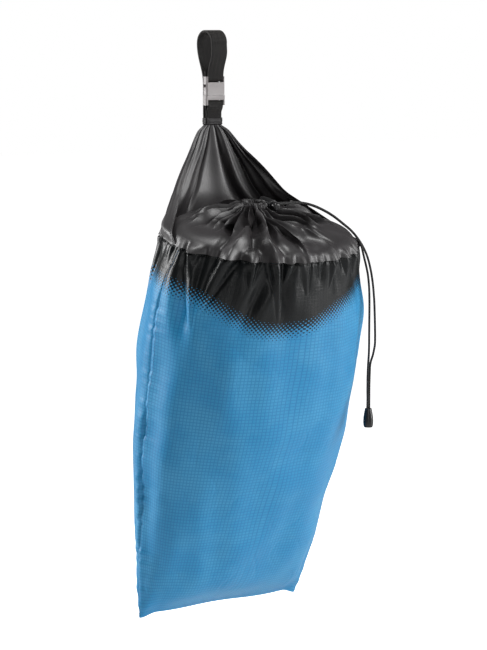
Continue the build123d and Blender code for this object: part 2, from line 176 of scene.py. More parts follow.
def grid_normals(p, closed):
    """Unit normals of a grid of points, rows first, columns going round when closed."""
    if closed:
        across = np.roll(p, -1, axis=1) - np.roll(p, 1, axis=1)
    else:
        across = np.gradient(p, axis=1)
    down = np.gradient(p, axis=0)
    n = np.cross(across, down)
    return n / np.maximum(np.linalg.norm(n, axis=2, keepdims=True), 1e-12)


# ---- meshes -------------------------------------------------------------------------------------
def new_object(name, verts, faces, material, shade=True):
    mesh = bpy.data.meshes.new(name)
    mesh.from_pydata([tuple(v) for v in verts], [], faces)
    mesh.validate()
    if shade:
        mesh.polygons.foreach_set("use_smooth", [True] * len(mesh.polygons))
    mesh.materials.append(material)
    piece = bpy.data.objects.new(name, mesh)
    bpy.context.scene.collection.objects.link(piece)
    return piece


def grid_faces(rows, cols, closed):
    last = cols if closed else cols - 1
    r, c = np.meshgrid(np.arange(rows - 1), np.arange(last), indexing="ij")
    n = (c + 1) % cols
    quads = np.stack([r * cols + c, r * cols + n, (r + 1) * cols + n, (r + 1) * cols + c], axis=-1)
    return quads.reshape(-1, 4).tolist()


def end_caps(rows, cols, start=0):
    """The two faces that close a tube of rows and cols, first row and last row."""
    return [[start + i for i in range(cols)][::-1], [start + (rows - 1) * cols + i for i in range(cols)]]


def store(piece, name, values):
    layer = piece.data.attributes.new(name, "FLOAT", "POINT")
    layer.data.foreach_set("value", np.asarray(values, np.float32).ravel())


def grid_piece(name, points, material, closed, across, along, **extra):
    """A sheet from a grid of points in the row frame, with its own cloth coordinates in metres."""
    rows, cols = points.shape[:2]
    piece = new_object(name, points.reshape(-1, 3), grid_faces(rows, cols, closed), material)
    for key, values in {"cloth_u": across, "cloth_v": along, **extra}.items():
        store(piece, key, np.broadcast_to(values, (rows, cols)))
    return piece


def thicken(piece, thickness, offset=-1.0):
    solid = piece.modifiers.new("thickness", "SOLIDIFY")
    solid.thickness = thickness
    solid.offset = offset
    solid.use_quality_normals = True
    apply_modifiers(piece)
    return piece


def apply_modifiers(piece):
    bpy.context.view_layer.update()
    graph = bpy.context.evaluated_depsgraph_get()
    mesh = bpy.data.meshes.new_from_object(piece.evaluated_get(graph), depsgraph=graph)
    piece.modifiers.clear()
    piece.data = mesh


def frames_along(path):
    """Tangent and two side directions at each point of a path, turning as little as possible."""
    tangent = np.gradient(path, axis=0)
    tangent /= np.linalg.norm(tangent, axis=1, keepdims=True)
    side = np.cross(tangent[0], [0.3, 0.5, 0.8])
    sides = []
    for t in tangent:
        side = side - t * (side @ t)
        side = side / np.linalg.norm(side)
        sides.append(side)
    sides = np.array(sides)
    return tangent, sides, np.cross(tangent, sides)


def tube(name, path, radius, material, sides):
    """A round cord along a path; radius may vary along it."""
    path = np.asarray(path)
    radius = np.broadcast_to(radius, len(path))
    _, a, b = frames_along(path)
    turn = np.linspace(0, 2 * math.pi, sides, endpoint=False)
    ring = a[:, None] * np.cos(turn)[None, :, None] + b[:, None] * np.sin(turn)[None, :, None]
    points = path[:, None] + ring * radius[:, None, None]
    run = path_run(path)
    verts = points.reshape(-1, 3)
    faces = grid_faces(len(path), sides, True)
    faces += end_caps(len(path), sides)
    piece = new_object(name, verts, faces, material)
    store(piece, "cloth_u", np.broadcast_to(turn, (len(path), sides)) / (2 * math.pi))
    store(piece, "cloth_v", np.broadcast_to(run[:, None], (len(path), sides)))
    return piece


def join(name, pieces):
    """Several objects as one, keeping their attributes."""
    bpy.context.view_layer.update()
    with bpy.context.temp_override(
        active_object=pieces[0], selected_editable_objects=pieces, object=pieces[0], selected_objects=pieces
    ):
        bpy.ops.object.join()
    pieces[0].name = name
    pieces[0].data.name = name
    return pieces[0]


def along_path(at, run, path):
    """Points of a path at given distances along it."""
    return np.stack([np.interp(at, run, path[:, i]) for i in range(3)], axis=1)


def resample(path, step):
    path = np.asarray(path, float)
    run = path_run(path)
    at = np.linspace(0, run[-1], max(3, int(run[-1] / step) + 1))
    return along_path(at, run, path)


# ---- materials ----------------------------------------------------------------------------------
NOISE_ROUGHNESS = 0.55


class Shader:
    """A node-based material, written as short steps."""

    def __init__(self, name):
        self.material = bpy.data.materials.new(name)
        self.material.use_nodes = True
        self.tree = self.material.node_tree
        self.main = self.tree.nodes["Principled BSDF"]

    def node(self, kind, **settings):
        made = self.tree.nodes.new("ShaderNode" + kind)
        for key, value in settings.items():
            setattr(made, key, value)
        return made

    def link(self, value, socket):
        if hasattr(value, "is_linked"):
            self.tree.links.new(value, socket)
        else:
            socket.default_value = value

    def math(self, operation, a, b=0.0, c=0.0):
        made = self.node("Math", operation=operation)
        for socket, value in zip(made.inputs, (a, b, c)):
            self.link(value, socket)
        return made.outputs[0]

    def times(self, a, b):
        return self.math("MULTIPLY", a, b)

    def attribute(self, name):
        return self.node("Attribute", attribute_name=name).outputs["Fac"]

    def place(self):
        return self.node("TexCoord").outputs["Object"]

    def noise(self, scale, detail=3.0, vector=None):
        made = self.node("TexNoise")
        self.link(vector if vector is not None else self.place(), made.inputs["Vector"])
        made.inputs["Scale"].default_value = scale
        made.inputs["Detail"].default_value = detail
        made.inputs["Roughness"].default_value = NOISE_ROUGHNESS
        return made.outputs["Fac"]

    def vector(self, x, y, z=0.0):
        made = self.node("CombineXYZ")
        for socket, value in zip(made.inputs, (x, y, z)):
            self.link(value, socket)
        return made.outputs[0]

    def remap(self, value, low, high, to_low=0.0, to_high=1.0):
        made = self.node("MapRange", interpolation_type="SMOOTHSTEP")
        for socket, v in zip(made.inputs, (value, low, high, to_low, to_high)):
            self.link(v, socket)
        return made.outputs[0]

    def mix(self, amount, a, b):
        made = self.node("Mix", data_type="RGBA")
        self.link(amount, made.inputs[0])
        for socket, value in ((made.inputs[6], a), (made.inputs[7], b)):
            self.link(value if hasattr(value, "is_linked") else (*value, 1.0), socket)
        return made.outputs[2]

    def bump(self, height, strength, distance, below=None):
        made = self.node("Bump")
        made.inputs["Strength"].default_value = strength
        made.inputs["Distance"].default_value = distance
        self.link(height, made.inputs["Height"])
        if below is not None:
            self.link(below, made.inputs["Normal"])
        return made.outputs[0]

    def stripe(self, coordinate, pitch):
        """A cosine ripple of the given pitch, from -1 to 1."""
        return self.math("COSINE", self.times(coordinate, 2 * math.pi / pitch))

    def finish(self, **inputs):
        for key, value in inputs.items():
            socket = self.main.inputs[key.replace("_", " ")]
            if isinstance(value, tuple) and len(value) == 3:
                value = (*value, 1.0)
            self.link(value, socket)
        return self.material


BLUE = (0.010, 0.228, 0.460)
BLUE_LIGHT = (0.036, 0.275, 0.500)
BLUE_DARK = (0.002, 0.120, 0.330)
INK = (0.003, 0.004, 0.0045)
SATIN = (0.009, 0.0075, 0.0085)
SATIN_LIGHT = (0.015, 0.013, 0.0145)
RIPSTOP_U = 3.8 * MM
RIPSTOP_V = 3.5 * MM
RIPSTOP_YARN = 0.55 * MM
HALFTONE_DOT = 4.2 * MM
HALFTONE_REACH = 11 * MM
TAPE_RIB = 1.25 * MM
TAPE_WARP = 0.9 * MM
TAPE_CHEVRON = 2.6 * MM
BRAID_LAY = 2.1 * MM


def ripstop(name):
    """Light ripstop nylon, black print fading to blue through a halftone."""
    s = Shader(name)
    u, v = s.attribute("cloth_u"), s.attribute("cloth_v")
    edge = s.attribute("print_edge")
    line_u = s.remap(s.stripe(u, RIPSTOP_U), 0.45, 1.0)
    line_v = s.remap(s.stripe(v, RIPSTOP_V), 0.40, 1.0)
    lines = s.math("MAXIMUM", line_u, line_v)
    patch = s.noise(26, 3)
    fine = s.noise(900, 2)
    blue = s.mix(s.remap(patch, 0.35, 0.68), BLUE, BLUE_LIGHT)
    blue = s.mix(s.times(lines, 0.55), blue, BLUE_DARK)
    blue = s.mix(s.times(s.remap(fine, 0.45, 0.7), 0.14), blue, BLUE_DARK)
    dots = s.times(s.stripe(u, HALFTONE_DOT), s.stripe(v, HALFTONE_DOT))
    level = s.math("MULTIPLY_ADD", edge, 1 / HALFTONE_REACH, 0.0)
    ink = s.math("GREATER_THAN", dots, level)
    ink = s.math("MAXIMUM", ink, s.math("LESS_THAN", edge, -HALFTONE_REACH))
    ink = s.times(ink, s.math("LESS_THAN", edge, HALFTONE_REACH))
    colour = s.mix(ink, blue, INK)
    weave = s.times(s.stripe(u, RIPSTOP_YARN), s.stripe(v, RIPSTOP_YARN))
    height = s.math("MULTIPLY_ADD", weave, 0.12, lines)
    relief = s.bump(height, 0.30, 0.22 * MM)
    relief = s.bump(s.noise(160, 4), 0.22, 1.2 * MM, relief)
    rough = s.math("MULTIPLY_ADD", ink, -0.16, s.remap(patch, 0.3, 0.7, 0.46, 0.56))
    return s.finish(
        Base_Color=colour, Roughness=rough, Normal=relief,
        Specular_IOR_Level=s.math("MULTIPLY_ADD", ink, -0.18, 0.40),
        Coat_Weight=s.times(ink, 0.06), Coat_Roughness=0.26,
    )


def satin(name, tone=1.0, shine=1.0):
    """Thin black satin lining with a soft, slightly streaked shine."""
    s = Shader(name)
    u, v = s.attribute("cloth_u"), s.attribute("cloth_v")
    threads = s.noise(1.0, 3, s.vector(s.times(u, 2600), s.times(v, 240)))
    patch = s.noise(40, 3)
    dark, light = (tuple(c * tone for c in shade) for shade in (SATIN, SATIN_LIGHT))
    colour = s.mix(s.remap(patch, 0.35, 0.7), dark, light)
    relief = s.bump(threads, 0.10, 0.25 * MM)
    relief = s.bump(s.noise(70, 3), 0.10, 1.1 * MM, relief)
    rough = s.remap(threads, 0.3, 0.7, 0.43, 0.52)
    return s.finish(
        Base_Color=colour, Roughness=rough, Normal=relief, Specular_IOR_Level=0.75 * shine, Anisotropic=0.35,
        Sheen_Weight=0.08 * shine, Sheen_Roughness=0.35, Sheen_Tint=(0.80, 0.74, 0.76),
        Coat_Weight=0.10 * shine, Coat_Roughness=0.30,
    )


def webbing(name):
    """Close-woven narrow nylon tape: ribs across, with a herringbone of warp threads."""
    s = Shader(name)
    u, v = s.attribute("cloth_u"), s.attribute("cloth_v")
    slope = s.math("PINGPONG", u, TAPE_CHEVRON)
    ribs = s.stripe(s.math("ADD", v, slope), TAPE_RIB)
    warp = s.stripe(u, TAPE_WARP)
    height = s.math("MULTIPLY_ADD", warp, 0.5, ribs)
    fuzz = s.noise(1500, 2)
    # Painted shade: the tape's colour is darker in the valleys of the ribs and warp threads and lighter on
    # their crowns, following the same height as the bump.
    tone = s.remap(height, -1.2, 1.4)
    colour = s.mix(tone, (0.003, 0.003, 0.003), (0.013, 0.012, 0.012))
    colour = s.mix(s.times(s.remap(fuzz, 0.5, 0.75), 0.35), colour, (0.026, 0.023, 0.022))
    relief = s.bump(height, 0.75, 0.25 * MM)
    relief = s.bump(fuzz, 0.25, 0.15 * MM, relief)
    return s.finish(
        Base_Color=colour, Roughness=0.66, Normal=relief, Sheen_Weight=0.10, Sheen_Roughness=0.35,
        Sheen_Tint=(0.8, 0.70, 0.62), Specular_IOR_Level=0.25,
    )


def plastic(name, colour, edge_colour, rough):
    """Moulded plastic with a fine spark texture and a lighter colour on its sharp edges."""
    s = Shader(name)
    grain = s.noise(2600, 2)
    broad = s.noise(90, 3)
    edge = s.node("NewGeometry").outputs["Pointiness"]
    # The colour turns lighter on sharp convex edges, picked out by pointiness.
    edge_mix = s.times(s.remap(edge, 0.52, 0.60), 0.6)
    dark, light = (tuple(c * k for c in colour) for k in (0.86, 1.12))
    tone = s.mix(s.remap(broad, 0.3, 0.7), dark, light)
    tone = s.mix(edge_mix, tone, edge_colour)
    relief = s.bump(grain, 0.22, 0.10 * MM)
    rough_map = s.remap(broad, 0.3, 0.7, rough - 0.05, rough + 0.07)
    return s.finish(Base_Color=tone, Roughness=rough_map, Normal=relief, Specular_IOR_Level=0.45)


def braid(name):
    """Round braided cord."""
    s = Shader(name)
    turn, run = s.attribute("cloth_u"), s.attribute("cloth_v")
    steps = s.times(run, 1 / BRAID_LAY)
    left_turn = s.math("MULTIPLY_ADD", turn, 4.0, steps)
    right_turn = s.math("MULTIPLY_ADD", turn, 4.0, s.times(steps, -1))
    left, right = (s.math("SINE", s.times(way, 2 * math.pi)) for way in (left_turn, right_turn))
    plait = s.math("MAXIMUM", left, right)
    fuzz = s.noise(2200, 2)
    # Painted shade: the cord's colour is darker in the grooves between the plaited strands and lighter on
    # their crowns, following the plait's height.
    colour = s.mix(s.remap(plait, -0.4, 1.0), (0.002, 0.002, 0.002), (0.012, 0.0115, 0.012))
    colour = s.mix(s.times(s.remap(fuzz, 0.55, 0.75), 0.3), colour, (0.03, 0.03, 0.03))
    relief = s.bump(plait, 0.8, 0.25 * MM)
    return s.finish(Base_Color=colour, Roughness=0.68, Normal=relief, Sheen_Weight=0.1, Sheen_Roughness=0.4)


def thread_material(name, colour):
    s = Shader(name)
    twist = s.noise(3000, 2)
    tone = s.mix(s.remap(twist, 0.35, 0.65), tuple(c * 0.6 for c in colour), colour)
    return s.finish(Base_Color=tone, Roughness=0.55, Normal=s.bump(twist, 0.4, 0.1 * MM), Sheen_Weight=0.2)


def steel(name):
    s = Shader(name)
    streak = s.noise(1400, 3)
    return s.finish(
        Base_Color=(0.55, 0.55, 0.57), Metallic=1.0, Roughness=s.remap(streak, 0.3, 0.7, 0.25, 0.4),
        Normal=s.bump(streak, 0.15, 0.05 * MM),
    )


RIPSTOP = ripstop("ripstop_print")
SATIN_CLOTH = satin("satin_lining")
# The flap's satin is a lighter copy (tone 1.15) of the same black satin: painted light.
SATIN_FLAP_PAINTED_LIGHT = satin("satin_flap_painted_light", 1.15)
# The apex patch's satin is a darker copy (tone 0.7) of the same black satin: painted shade that keeps its
# up-and-front face from looking lit; its shine is also lowered.
SATIN_PATCH_PAINTED_SHADE = satin("satin_patch_painted_shade", 0.7, 0.25)
WEBBING = webbing("woven_tape")
BUCKLE = plastic("buckle_grey", (0.175, 0.158, 0.158), (0.33, 0.31, 0.31), 0.42)
LOCK = plastic("lock_black", (0.007, 0.007, 0.008), (0.04, 0.04, 0.045), 0.34)
BRAID = braid("braided_cord")
THREAD_DARK = thread_material("thread_dark", (0.012, 0.0115, 0.012))
THREAD_BLUE = thread_material("thread_blue", (0.05, 0.20, 0.46))
STEEL = steel("spring_steel")


# ---- bag body -----------------------------------------------------------------------------------
BODY_COLS = 640
BODY_ROWS = 300
FULLNESS = 0.15
BOTTOM_SHIFT = 3.8 * MM
BOTTOM_SAG = 1.0 * MM
CORNER_DROOP = 5.5 * MM
PANELS = surface("front_panel", "back_panel")
FAR = 0.5
BODY_LENGTH = -to_bag(node_points("front_panel"))[:, 2].min()


def body_profile(depths):
    """Half width, front depth and back depth of the CAD bag at depths below the mouth seam."""
    rows = []
    for s in np.clip(depths, 2 * MM, BODY_LENGTH - 0.6 * MM):
        front = hit(PANELS, (0, -FAR, -s), (0, 1, 0))
        back = hit(PANELS, (0, FAR, -s), (0, -1, 0))
        side = hit(PANELS, (FAR, 0.4 * MM, -s), (-1, 0, 0))
        rows.append((side[0], -front[1], back[1]))
    rows = np.array(rows).T
    span = max(1, int(len(depths) * 0.045))
    fade = smooth(depths, BODY_LENGTH * 0.80, BODY_LENGTH * 0.93)
    return [blur(r, span) * (1 - fade) + r * fade for r in rows]


def even_turn(cols):
    """Angles round the mouth ellipse, evenly spaced along its edge, from the left seam over the front."""
    fine = np.linspace(-math.pi, math.pi, 4001)
    step = np.hypot(MOUTH_A * np.sin(fine), MOUTH_B * np.cos(fine))
    run = np.concatenate([[0], np.cumsum((step[1:] + step[:-1]) / 2 * np.diff(fine))])
    at = np.linspace(0, run[-1], cols, endpoint=False)
    return np.interp(at, run, fine), at, run[-1]


BODY_TURN, BODY_ARC, GIRTH = even_turn(BODY_COLS)
FINGERS = [
    (-164, 9.0, 74, 7.0, 0.20), (-141, 8.0, 58, 5.5, -0.25), (-126, 5.0, 30, 3.6, 0.10),
    (-113, 5.5, 60, 5.6, 0.28), (-104, 4.0, 22, 3.0, -0.10), (-95, 5.0, 34, 4.2, 0.20),
    (-84, 3.6, 20, 2.6, 0.0), (-74, 4.6, 30, 3.6, -0.15), (-62, 3.8, 22, 2.8, 0.10),
    (-49, 4.2, 28, 3.2, -0.10), (-26, 6.0, 48, 4.0, 0.15),
    (20, 6.0, 54, 4.2, -0.10), (48, 5.0, 40, 3.6, 0.15), (80, 6.0, 50, 4.0, 0.0), (118, 5.4, 44, 3.6, -0.15),
    (150, 6.0, 56, 4.4, 0.10),
]
PRINT_DEPTH = 38 * MM
PRINT_DIP = 34 * MM
PRINT_SPREAD = math.radians(37)
PRINT_CENTRE = math.radians(-103)


def print_edge(turn, depth):
    """Signed distance below the edge of the black print."""
    away = np.angle(np.exp(1j * (turn - PRINT_CENTRE)))
    return depth - (PRINT_DEPTH + PRINT_DIP * bump(away, PRINT_SPREAD))


def round_mouth(distance):
    """A distance round the mouth, taken the short way."""
    return np.angle(np.exp(2j * math.pi * distance / GIRTH)) * GIRTH / (2 * math.pi)


def seam_folds(arc, depth):
    """Folds that hang from the gathered mouth seam and fade down the bag."""
    rng = np.random.default_rng(12)
    total = np.zeros_like(arc + depth)
    count = 34
    for k in range(count):
        at = GIRTH * (k + rng.uniform(-0.3, 0.3)) / count
        length = rng.uniform(14, 60) * MM
        width = rng.uniform(2.6, 6.0) * MM
        deep = rng.uniform(0.5, 2.6) * MM
        lean = rng.uniform(-0.25, 0.25)
        away = round_mouth(arc - at - lean * depth)
        spread = width * (1 + depth / (22 * MM))
        shape = bump(away, spread) - 0.55 * bump(np.abs(away) - 1.9 * spread, spread)
        total -= deep * shape * np.exp(-((depth / length) ** 1.5))
    return total


def fingers(arc, depth):
    """The larger folds that point down from the mouth seam: (angle, half width, length, height, lean)."""
    total = np.zeros_like(arc + depth)
    for angle, wide, length, high, lean in FINGERS:
        at = arc_at(math.radians(angle)) + lean * depth
        away = round_mouth(arc - at)
        left = np.clip(1 - depth / (length * MM), 0, 1)
        half = wide * MM * (0.25 + 0.75 * left)
        crown = high * MM * left**0.8 * np.exp(-np.abs(away / half) ** 2.6)
        side = 0.42 * high * MM * left**0.6 * bump(away - 1.45 * half, 0.42 * half)
        other = 0.30 * high * MM * left**0.6 * bump(away + 1.45 * half, 0.60 * half)
        total += crown - side - other
    return total


def long_folds(arc, depth):
    """Soft dents down the length of the hanging bag: (place round it, top, bottom, width, depth, lean)."""
    folds = [
        (0.045, 18, 92, 7.0, 5.0, 0.10), (0.160, 5, 70, 6.5, 4.5, -0.16), (0.205, 0, 60, 5.0, 3.6, 0.20),
        (0.020, 60, 380, 10.0, 2.6, 0.02), (0.100, 90, 260, 16.0, 1.8, 0.05),
        (0.300, 60, 240, 15.0, 1.6, -0.05), (0.400, 10, 140, 9.0, 2.6, 0.05),
        (0.620, 10, 200, 12.0, 3.0, 0.06), (0.740, 30, 260, 14.0, 2.6, -0.04),
        (0.860, 10, 220, 12.0, 3.0, 0.03), (0.950, 30, 300, 10.0, 2.4, -0.02),
    ]
    total = np.zeros_like(arc + depth)
    for place, top, bottom, width, deep, lean in folds:
        middle_depth = (top + bottom) / 2 * MM
        away = round_mouth(arc - place * GIRTH - lean * (depth - middle_depth))
        half = (bottom - top) / 2 * MM
        reach = bump(depth - middle_depth, half * 0.75)
        width = width * MM
        total -= deep * MM * reach * (bump(away, width) - 0.35 * bump(np.abs(away) - 2 * width, width))
    return total


def body_piece():
    depth = np.linspace(0, 1, BODY_ROWS)
    depth = BODY_LENGTH * (depth + 0.35 * (smooth(depth, 0, 1) - depth))
    half, front, back = body_profile(depth)
    turn = BODY_TURN[None, :]
    s = depth[:, None]
    arc = BODY_ARC[None, :]
    b = np.where(np.sin(turn) < 0, front[:, None], back[:, None])
    full = 1 - FULLNESS * smooth(s, 20 * MM, 90 * MM) * smooth(-np.sin(turn), -0.1, 0.35)
    x = half[:, None] * np.sign(np.cos(turn)) * np.abs(np.cos(turn)) ** full
    y = b * np.sign(np.sin(turn)) * np.abs(np.sin(turn)) ** full
    hang = BOTTOM_SHIFT * smooth(s, 0.55 * BODY_LENGTH, BODY_LENGTH)
    x = x + hang * (1 + x / half[:, None])
    near_end = smooth(s, BODY_LENGTH - 60 * MM, BODY_LENGTH)
    corner = smooth(np.abs(x - hang) / (half[:, None] + hang), 0.80, 1.0)
    sag = BOTTOM_SAG * np.sin(1.6 * math.pi * (x / half[:, None] + 0.35))
    z = -s - CORNER_DROOP * near_end * corner + sag * near_end * (1 - corner)
    base = np.stack(np.broadcast_arrays(x, y, z), axis=-1)
    normal = grid_normals(base, True)
    if (normal[BODY_ROWS // 2, :, :2] * base[BODY_ROWS // 2, :, :2]).sum() < 0:
        normal = -normal
    seam_away = np.minimum(np.abs(x - half[:, None] - 2 * hang), np.abs(x + half[:, None]))
    seam_away = np.hypot(seam_away, y) + 0 * s
    thick = smooth(b, 4 * MM, 30 * MM)
    d = 1.3 * MM * waves(arc, s, 95 * MM, 3) * thick
    d += 0.5 * MM * waves(arc, s * 0.7, 38 * MM, 4) * thick
    crease = np.abs(waves(arc * 1.1, s * 0.8, 46 * MM, 5))
    d -= 0.3 * MM * bump(crease, 0.16) * smooth(waves(arc, s, 120 * MM, 6), -0.2, 0.9) * thick
    d += seam_folds(arc, s) + fingers(arc, s) + long_folds(arc, s) * thick
    groove = bump(seam_away, 2.0 * MM)
    pucker = waves(s, 0 * arc, 11 * MM, 7) * bump(seam_away, 13 * MM)
    d += (-1.3 * MM * groove + 0.7 * MM * pucker) * smooth(s, 6 * MM, 30 * MM) * (1 - 0.6 * near_end)
    ruffle = waves(arc, 0 * s, 8.5 * MM, 9) * np.exp(-s / (9 * MM)) * smooth(s, 0.5 * MM, 4 * MM)
    d += 1.5 * MM * ruffle
    d -= 1.6 * MM * bump(s, 2.2 * MM)
    points = base + normal * d[..., None]
    piece = grid_piece("bag_body", to_row(points), RIPSTOP, True, arc, s, print_edge=print_edge(turn, s))
    return piece, points


# ---- gathered collar ----------------------------------------------------------------------------
COLLAR_COLS = 900
COLLAR_ROWS = 96
COLLAR = surface("mouth_collar")
GATHER = to_bag(middle("cord_tunnel"))
tunnel_low, tunnel_high = box("cord_tunnel")
GATHER_R = (tunnel_high[0] - tunnel_low[0]) / 2
NECK_BOTTOM = to_bag(node_points("cord_tunnel"))[:, 2].min()
NECK_TOP = to_bag(node_points("cord_tunnel"))[:, 2].max()
PLEATS = 27
COLLAR_SETTLE = 3.2 * MM
COLLAR_FOLDS = [
    (-168, 8.0, 4.6, 0.25, 0.92, 0.10), (-155, 6.0, 5.0, 0.30, 0.95, -0.05),
    (-141, 7.0, 7.4, -0.10, 0.95, 0.22), (-127, 5.0, 5.2, 0.35, 0.95, -0.06),
    (-113, 6.0, 7.6, -0.10, 0.97, -0.20), (-98, 5.5, 5.2, 0.38, 0.97, 0.0),
    (-82, 6.0, 5.6, 0.30, 0.97, 0.12), (-63, 6.0, 4.8, 0.36, 0.97, 0.05), (-40, 8.0, 4.6, 0.30, 0.95, -0.06),
    (-12, 8.0, 4.4, 0.35, 0.95, 0.05), (20, 8.0, 4.4, 0.30, 0.95, 0.05), (60, 8.0, 4.6, 0.25, 0.95, -0.05),
    (100, 8.0, 4.6, 0.25, 0.95, 0.05), (140, 8.0, 4.6, 0.25, 0.95, -0.05), (172, 8.0, 4.4, 0.30, 0.95, 0.04),
]


def dome_height(x, y):
    place = hit(COLLAR, (x, y, 0.2), (0, 0, -1))
    return 0.0 if place is None else place[2]


def pleat_phase(turn):
    """An uneven count of pleats round the mouth, the same at every height."""
    rng = np.random.default_rng(5)
    phase = PLEATS * turn
    for k in (2, 3, 5, 7, 11):
        phase = phase + rng.uniform(0.5, 1.5) * np.sin(k * turn + rng.uniform(0, 2 * math.pi))
    return phase


def clear_height(points):
    """How high the collar may stand under the cord lock's path and under the two cords."""
    lock = to_bag(np.vstack([node_points("cord_lock_body"), node_points("cord_lock_plunger")]))
    low, high = lock.min(axis=0), lock.max(axis=0)
    travel = joint("cord_lock_slide")["range_m"][1]
    x, y = points[..., 0], points[..., 1]
    outside_x = np.maximum(low[0] - x, x - high[0] - travel)
    outside_y = np.maximum(low[1] - y, y - high[1])
    away = np.maximum(np.maximum(outside_x, outside_y), 0)
    limit = low[2] - 0.5 * MM + 1.2 * away
    run = to_bag(node_points("drawcord_run"))
    edges = np.arange(run[:, 0].min(), run[:, 0].max() + 2 * MM, 2 * MM)
    slot = np.digitize(run[:, 0], edges)
    for k in sorted(set(slot)):
        part = run[slot == k]
        centre = (part.min(axis=0) + part.max(axis=0)) / 2
        half = (part.max(axis=0) - part.min(axis=0)) / 2
        gap = np.maximum(np.abs(x - centre[0]) - half[0], np.abs(y - centre[1]) - half[1])
        limit = np.minimum(limit, part[:, 2].min() - 0.5 * MM + 0.7 * np.maximum(gap, 0))
    return limit


def seam_wave(turn):
    """How far the folds of the body push the mouth seam in or out."""
    return seam_folds(arc_at(turn), 0 * turn) + fingers(arc_at(turn), 0 * turn)


def collar_ridges(turn, t, local_r):
    """The large folds of the collar: (angle, half width, height, start, end, swing)."""
    total = np.zeros_like(turn + t)
    for angle, wide, high, start, end, swing in COLLAR_FOLDS:
        at = math.radians(angle) + swing * np.sin(math.pi * t) * (0.6 + 0.4 * np.cos(5 * t))
        away = np.angle(np.exp(1j * (turn - at))) * local_r
        half = wide * MM * np.clip(local_r / (70 * MM), 0.22, 1.0)
        grow = smooth(t, start, start + 0.22) * (1 - smooth(t, end - 0.08, end + 0.05))
        size = np.minimum(high * MM, 0.42 * local_r) * grow
        crown = np.exp(-np.abs(away / half) ** 1.5)
        total += size * (crown - 0.62 * bump(np.abs(away) - 1.9 * half, 0.75 * half))
    return total


def collar_points():
    rng = np.random.default_rng(8)
    turn = np.linspace(-math.pi, math.pi, COLLAR_COLS, endpoint=False)[None, :]
    t = np.linspace(0, 1, COLLAR_ROWS)[:, None]
    travel = t**0.92
    ring = np.stack([MOUTH_A * np.cos(turn) - 0.8 * MM * np.cos(turn), MOUTH_B * np.sin(turn)], axis=-1)
    neck_r = GATHER_R * 0.72
    neck_x, neck_y = neck_r * 1.2 * np.cos(turn), neck_r * 0.85 * np.sin(turn)
    neck = np.stack([GATHER[0] + neck_x, GATHER[1] + neck_y], axis=-1)
    xy = ring * (1 - travel[..., None]) + neck * travel[..., None]
    coarse_turn = np.arange(0, COLLAR_COLS, 12)
    height = np.array([[dome_height(*xy[r, c]) for c in coarse_turn] for r in range(COLLAR_ROWS)])
    height[0] = 0
    known, wanted = np.append(coarse_turn, COLLAR_COLS), np.arange(COLLAR_COLS)
    height = np.array([np.interp(wanted, known, np.append(h, h[0])) for h in height])
    neck_z = NECK_BOTTOM + 2 * MM
    rise = smooth(t, 0.78, 1.0)
    z = height * (1 - rise) + (neck_z - 1 * MM + 3 * MM * t) * rise
    phase = pleat_phase(turn)
    index = np.floor(phase / (2 * math.pi)).astype(int)
    strength = rng.uniform(0.55, 1.25, 400)[index % 400]
    start = rng.uniform(-0.10, 0.34, 400)[(index + 7) % 400]
    strength = blur_round(strength[0], 10)[None, :]
    start = blur_round(start[0], 10)[None, :]
    broad = 1 - 2 * np.abs(np.cos(phase / 2)) ** 1.25
    fin = 2 * np.abs(np.sin(phase / 2)) ** 2.4 - 0.9
    near_neck = smooth(t, 0.35, 0.75)
    ridge = broad * (1 - near_neck) + fin * near_neck
    second = 1 - 2 * np.abs(np.cos(phase + 1.3)) ** 1.1
    local_r = np.linalg.norm(xy - np.array(GATHER[:2]), axis=-1)
    reach = smooth(t, start, start + 0.38)
    size = np.minimum(7.0 * MM, 0.46 * local_r) * strength * reach
    envelope = size * (1 - 0.35 * smooth(t, 0.85, 1.0))
    soft = 1.2 * MM * waves(xy[..., 0], xy[..., 1], 60 * MM, 21)
    soft = soft * smooth(t, 0.0, 0.3) * (1 - smooth(t, 0.7, 1.0))
    lift = 0.80 * envelope * ridge + 0.24 * envelope * second * smooth(t, 0.3, 0.8) + soft
    lift = lift + collar_ridges(turn, t, local_r)
    puff = 1.0 * MM * np.sin(math.pi * np.clip(t * 1.25, 0, 1)) ** 1.3
    sway = envelope * 0.55 * np.sin(phase + 0.7)
    radial = (xy - np.array(GATHER[:2])) / local_r[..., None]
    tangent = np.stack([-radial[..., 1], radial[..., 0]], axis=-1)
    base = np.concatenate([xy, z[..., None]], axis=-1)
    normal = grid_normals(base, True)
    if normal[COLLAR_ROWS // 2, :, 2].mean() < 0:
        normal = -normal
    normal = normal * (1 - rise)[..., None] + np.array([0, 0, 1]) * rise[..., None]
    seam_drop = seam_wave(turn) * (1 - smooth(t, 0, 0.04))
    settle = -COLLAR_SETTLE * smooth(t, 0.04, 0.30)
    points = base + normal * (lift + (puff + settle) * (1 - rise) + 0.6 * MM * bump(t, 0.05))[..., None]
    points[..., :2] += tangent * sway[..., None] + radial * seam_drop[..., None]
    points[..., 2] = np.minimum(points[..., 2], clear_height(points))
    return points, turn, t


def blur_round(values, radius):
    kernel = np.hanning(2 * radius + 3)[1:-1]
    wrapped = np.concatenate([values[-radius:], values, values[:radius]])
    return np.convolve(wrapped, kernel / kernel.sum(), "valid")


def arc_at(turn):
    """Distance round the mouth for an angle, as the body uses it."""
    return np.interp(turn, np.append(BODY_TURN, math.pi), np.append(BODY_ARC, GIRTH))


def collar_piece():
    points, turn, t = collar_points()
    arc = arc_at(turn)
    return grid_piece("mouth_collar_satin", to_row(points), SATIN_CLOTH, True, arc, t * 110 * MM), points


